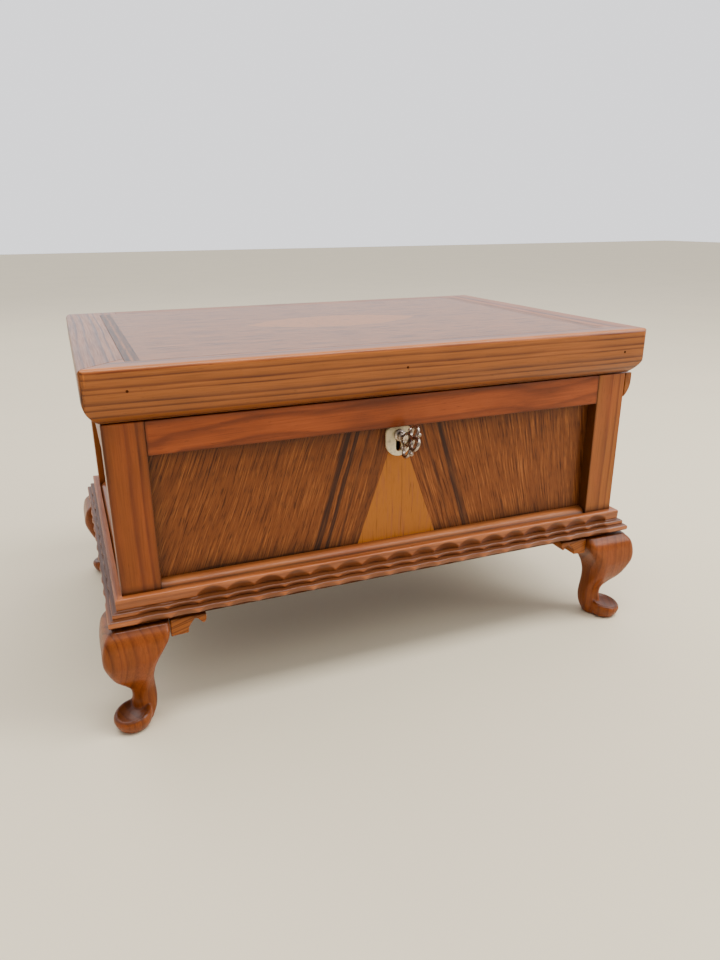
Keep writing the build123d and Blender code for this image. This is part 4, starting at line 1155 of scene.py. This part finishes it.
class BuildLock(bpy.types.Operator):
    """Lock plate, case, pins, bolt and keeper"""

    bl_idname = "jewelry_box.lock"
    bl_label = "Lock"

    def execute(self, context):
        steel = metal("rolled_steel", "steel", 0.38, "#6E6860", 0.5, stretch=(0.3, 3, 3))
        rows = [
            (source, f"steel_{source}", "case", "lock_steel", steel)
            for source in ("lock_plate", "lock_case", "lock_pins")
        ]
        rows.append(("lock_bolt", "steel_bolt", "lock_bolt", "lock_steel", steel))
        eased_pieces(rows, SIZES["metal_ease"])
        # Kept as it is, because easing its edges fills the eyes of the staples
        finish_node("keeper_plate", steel)
        return {"FINISHED"}


# Screw heads, and how far they are sunk below the faces that the CAD gives them
SCREW = {"Radius": 1.75 * MM, "Rise": 0.9 * MM, "Slot": 0.5 * MM}
SCREW_SUNK = 0.35 * MM
SCREW_ROWS = (
    ("hinge_screws_case", "case", (0, 0, 1)), ("hinge_screws_lid", "lid", (0, 0, -1)),
    ("keeper_screws", "lid", (0, 0, -1)), ("lock_screws", "case", (0, 1, 0)),
)


class BuildHinges(bpy.types.Operator):
    """Hinge leaves, pins and all the slotted screws"""

    bl_idname = "jewelry_box.hinges"
    bl_label = "Hinges and screws"

    def execute(self, context):
        brass = metal("drawn_brass", "brass", 0.3, "#7A5A2C", 0.4)
        rows = (("leaves_case", "case"), ("leaves_lid", "lid"), ("pins", "case"))
        eased_pieces(
            [(f"hinge_{part}", f"brass_hinge_{part}", body, "brass", brass)
             for part, body in rows],
            SIZES["metal_ease"],
        )
        tree = peg_tree()
        for seed, (source, body, facing) in enumerate(SCREW_ROWS):
            facing = Vector(facing)
            places = [p - facing * SCREW_SUNK for p in peg_places(source, facing)]
            made = heads(
                f"slotted_{source}", places, facing, tree, Seed=seed, Material=brass, **SCREW
            )
            dressed(made, body, "brass", brass, source)
        return {"FINISHED"}


# Nail heads on the lid's front, in millimetres, and how far behind its face their middles lie
NAIL_SPOTS = ((-139.5, 182.3), (1.8, 182.3), (143.9, 180.4))
NAIL_SUNK = 0.12 * MM
NAIL_RISE = 0.3 * MM


class BuildNails(bpy.types.Operator):
    """Dark nail heads in the front of the lid"""

    bl_idname = "jewelry_box.nails"
    bl_label = "Nails"

    def execute(self, context):
        dark = metal("rusted_nail", "rust", 0.75, "#2A1408", 0.9)
        places = [Vector((x * MM, LID_FRONT + NAIL_SUNK, z * MM)) for x, z in NAIL_SPOTS]
        made = heads(
            "lid_nails", places, (0, -1, 0), peg_tree(slotted=False), Radius=SIZES["nail"],
            Rise=NAIL_RISE, Seed=1, Material=dark,
        )
        dressed(made, "lid", "lock_steel", dark)
        return {"FINISHED"}


class BuildShield(bpy.types.Operator):
    """Keyhole shield with a rounded rim"""

    bl_idname = "jewelry_box.shield"
    bl_label = "Keyhole shield"

    def execute(self, context):
        row = ("escutcheon", "bone_shield", "case", "ivory", bone("polished_bone"))
        eased_pieces([row], SIZES["shield_edge"], 4)
        return {"FINISHED"}


class BuildKey(bpy.types.Operator):
    """Key with a turned stem, a bit and a pierced four-lobed bow"""

    bl_idname = "jewelry_box.key"
    bl_label = "Key"

    def execute(self, context):
        # Its warm base colour holds painted reflection of the brown wood round the key, besides
        # the nickel's own tone
        nickel = metal("plated_nickel", "nickel", 0.2, "#5E4430", 0.5)
        # The bow's boss, lobes and beads and the stem cross, and one skin joins them
        points, faces = lathe(BOW_BOSS, 32)
        boss = mesh_from("bow_blank", [Vector(p) * MM for p in points], faces)
        bow = plain_object("bow_blank", outward(boss))
        sizes = {key: size * MM for key, size in BOW.items()}
        grown(bow, bow_tree(), {**sizes, "Material": nickel})
        # The bow lies in the plane of the key's axis and Z
        bow.data.transform(Matrix.Rotation(math.pi / 2, 4, "Y"))
        bow.data.transform(Matrix.Translation((0, SHIELD_LOW.y - BOW_REACH, 0)))
        points, faces = lathe(KEY_STEM, 40)
        turn = Matrix.Rotation(math.pi / 2, 4, "X")
        stem = [turn @ (Vector(p) * MM) + Vector((0, SHIELD_LOW.y, 0)) for p in points]
        stem = outward(mesh_from("stem_blank", stem, faces))
        work = bmesh.new()
        work.from_mesh(bow.data)
        work.from_mesh(stem)
        work.to_mesh(bow.data)
        work.free()
        bow.name = "nickel_key"
        skinned(bow, KEY_CELL, 3)
        # The bit stays a sharp block
        work = bmesh.new()
        work.from_mesh(bow.data)
        bit = bmesh.ops.create_cube(work, size=1.0)["verts"]
        bmesh.ops.scale(work, vec=KEY_BIT, verts=bit)
        middle = (0, BOLT_FRONT + BIT_BEHIND, BIT_ASIDE)
        bmesh.ops.translate(work, vec=middle, verts=bit)
        work.to_mesh(bow.data)
        work.free()
        bow.data.transform(Matrix.Rotation(KEY_ANGLE, 4, "Y"))
        place = ((SHIELD_LOW.x + SHIELD_HIGH.x) / 2, 0, KEY_Z)
        bow.data.transform(Matrix.Translation(place))
        smooth_faces(bow.data, 40)
        dressed(bow, "key", "nickel", nickel, "key")
        return {"FINISHED"}


class BuildLinings(bpy.types.Operator):
    """Velvet pads on the floor, walls and lid"""

    bl_idname = "jewelry_box.linings"
    bl_label = "Linings"

    def execute(self, context):
        cloth = velvet("cotton_velvet")
        pads = []
        for source, body, axis, towards in PADS:
            name = f"velvet_{source}"
            made = plain_object(name, pad_mesh(name, *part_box(source), axis, towards))
            smooth_faces(made.data, 60)
            pads.append(dressed(made, body, "felt", cloth, source))
        # The front one goes round the lock, so it keeps its outline
        row = ("lining_front", "velvet_lining_front", "case", "felt", cloth)
        pads += eased_pieces([row], PAD_EASE, 4)
        return {"FINISHED"}


FLOOR_REACH = 6.0
# Name, place, point that it faces, width and height in metres, and power in watts
LIGHTS = (
    ("window", (0.5, -0.45, 1.6), (0.5, -0.2, 0.1), (2.0, 0.5), 30.0),
    ("key_light", (1.2, -0.8, 0.9), (0, 0, 0.1), (0.7, 0.7), 10.0),
    ("back_light", (-0.5, 1.3, 1.2), (0, 0, 0.1), (1.0, 1.0), 6.0),
)
# A pale wall behind the box and open shade in front of it
ROOM_COLOUR = "#EEEEF2"
ROOM_BRIGHT_SIDE = (0.3, 0.85, 0.35)
ROOM_SHADE = {"From Min": -0.7, "From Max": 0.8, "To Min": 0.4, "To Max": 1.75}
# The photograph's camera: place in metres, turn in radians and lens on a 36 mm wide sensor
CAMERA_PLACE = (-0.16251, -0.44384, 0.2564)
CAMERA_YAW, CAMERA_PITCH, CAMERA_ROLL = 0.381771, 0.346859, -0.005649
CAMERA_LENS = 36.385


def aimed(name, data, matrix):
    """An object for a light or a camera at its place."""
    holder = bpy.data.objects.new(name, data)
    bpy.context.scene.collection.objects.link(holder)
    holder.matrix_world = matrix
    return holder


class BuildStage(bpy.types.Operator):
    """Pale floor, soft light and the camera at the photograph's angle"""

    bl_idname = "jewelry_box.stage"
    bl_label = "Stage"

    def execute(self, context):
        corners = ((-1, -1), (1, -1), (1, 1), (-1, 1))
        corners = [(x * FLOOR_REACH, y * FLOOR_REACH, 0) for x, y in corners]
        floor = plain_object("floor", mesh_from("floor", corners, [(0, 1, 2, 3)]))
        clad(floor, painted_floor("matt_paint"))

        world = bpy.data.worlds.new("soft_room")
        context.scene.world = world
        world.use_nodes = True
        world.node_tree.nodes.clear()
        add = partial(node, world.node_tree)
        direction = add("ShaderNodeTexCoord").outputs["Generated"]
        share = add(VECTOR_MATH, {0: direction, 1: ROOM_BRIGHT_SIDE}, operation="DOT_PRODUCT")
        share = add(SPAN, {"Value": share, **ROOM_SHADE}, interpolation_type="SMOOTHSTEP")
        sky = add("ShaderNodeBackground", {"Color": linear(ROOM_COLOUR), "Strength": share})
        add("ShaderNodeOutputWorld", {0: sky})

        for name, place, target, size, power in LIGHTS:
            lamp = bpy.data.lights.new(name, "AREA")
            lamp.shape = "RECTANGLE"
            lamp.size, lamp.size_y = size
            lamp.energy = power
            turn = (Vector(target) - Vector(place)).to_track_quat("-Z", "Y")
            aimed(name, lamp, Matrix.Translation(place) @ turn.to_matrix().to_4x4())

        camera = bpy.data.cameras.new("camera")
        camera.sensor_fit = "HORIZONTAL"
        camera.sensor_width = 36.0
        camera.lens = CAMERA_LENS
        camera.clip_start = 0.01
        turn = (
            Matrix.Rotation(-CAMERA_YAW, 4, "Z")
            @ Matrix.Rotation(math.pi / 2 - CAMERA_PITCH, 4, "X")
            @ Matrix.Rotation(CAMERA_ROLL, 4, "Z")
        )
        place = Matrix.Translation(CAMERA_PLACE)
        context.scene.camera = aimed("camera", camera, place @ turn)
        return {"FINISHED"}


OPERATORS = (
    BuildFrame, BuildFrontVeneers, BuildMoulding, BuildLegs, BuildLid, BuildLock, BuildHinges,
    BuildNails, BuildShield, BuildKey, BuildLinings, BuildStage,
)


class JewelryBoxPanel(bpy.types.Panel):
    """Lists the pieces and the sizes and colours of the box"""

    bl_idname = "VIEW3D_PT_jewelry_box"
    bl_label = "Jewelry box"
    bl_space_type = "VIEW_3D"
    bl_region_type = "UI"
    bl_category = "Jewelry box"

    def draw(self, context):
        for group in (context.scene.jewelry_box_sizes, context.scene.jewelry_box_colours):
            for key in group.__annotations__:
                self.layout.prop(group, key)
        for operator in OPERATORS:
            self.layout.operator(operator.bl_idname)


CLASSES = (JewelryBoxColours, JewelryBoxSizes, *OPERATORS, JewelryBoxPanel)


def register():
    for item in CLASSES:
        bpy.utils.register_class(item)
    bpy.types.Scene.jewelry_box_colours = bpy.props.PointerProperty(type=JewelryBoxColours)
    bpy.types.Scene.jewelry_box_sizes = bpy.props.PointerProperty(type=JewelryBoxSizes)


def unregister():
    del bpy.types.Scene.jewelry_box_sizes
    del bpy.types.Scene.jewelry_box_colours
    for item in reversed(CLASSES):
        bpy.utils.unregister_class(item)


def main():
    register()
    scene = bpy.context.scene
    for key in JewelryBoxColours.__annotations__:
        COLOURS[key] = tuple(getattr(scene.jewelry_box_colours, key))
    for key in JewelryBoxSizes.__annotations__:
        SIZES[key] = getattr(scene.jewelry_box_sizes, key)
    for operator in OPERATORS:
        group, name = operator.bl_idname.split(".")
        getattr(getattr(bpy.ops, group), name)()


if __name__ == "__main__":
    main()
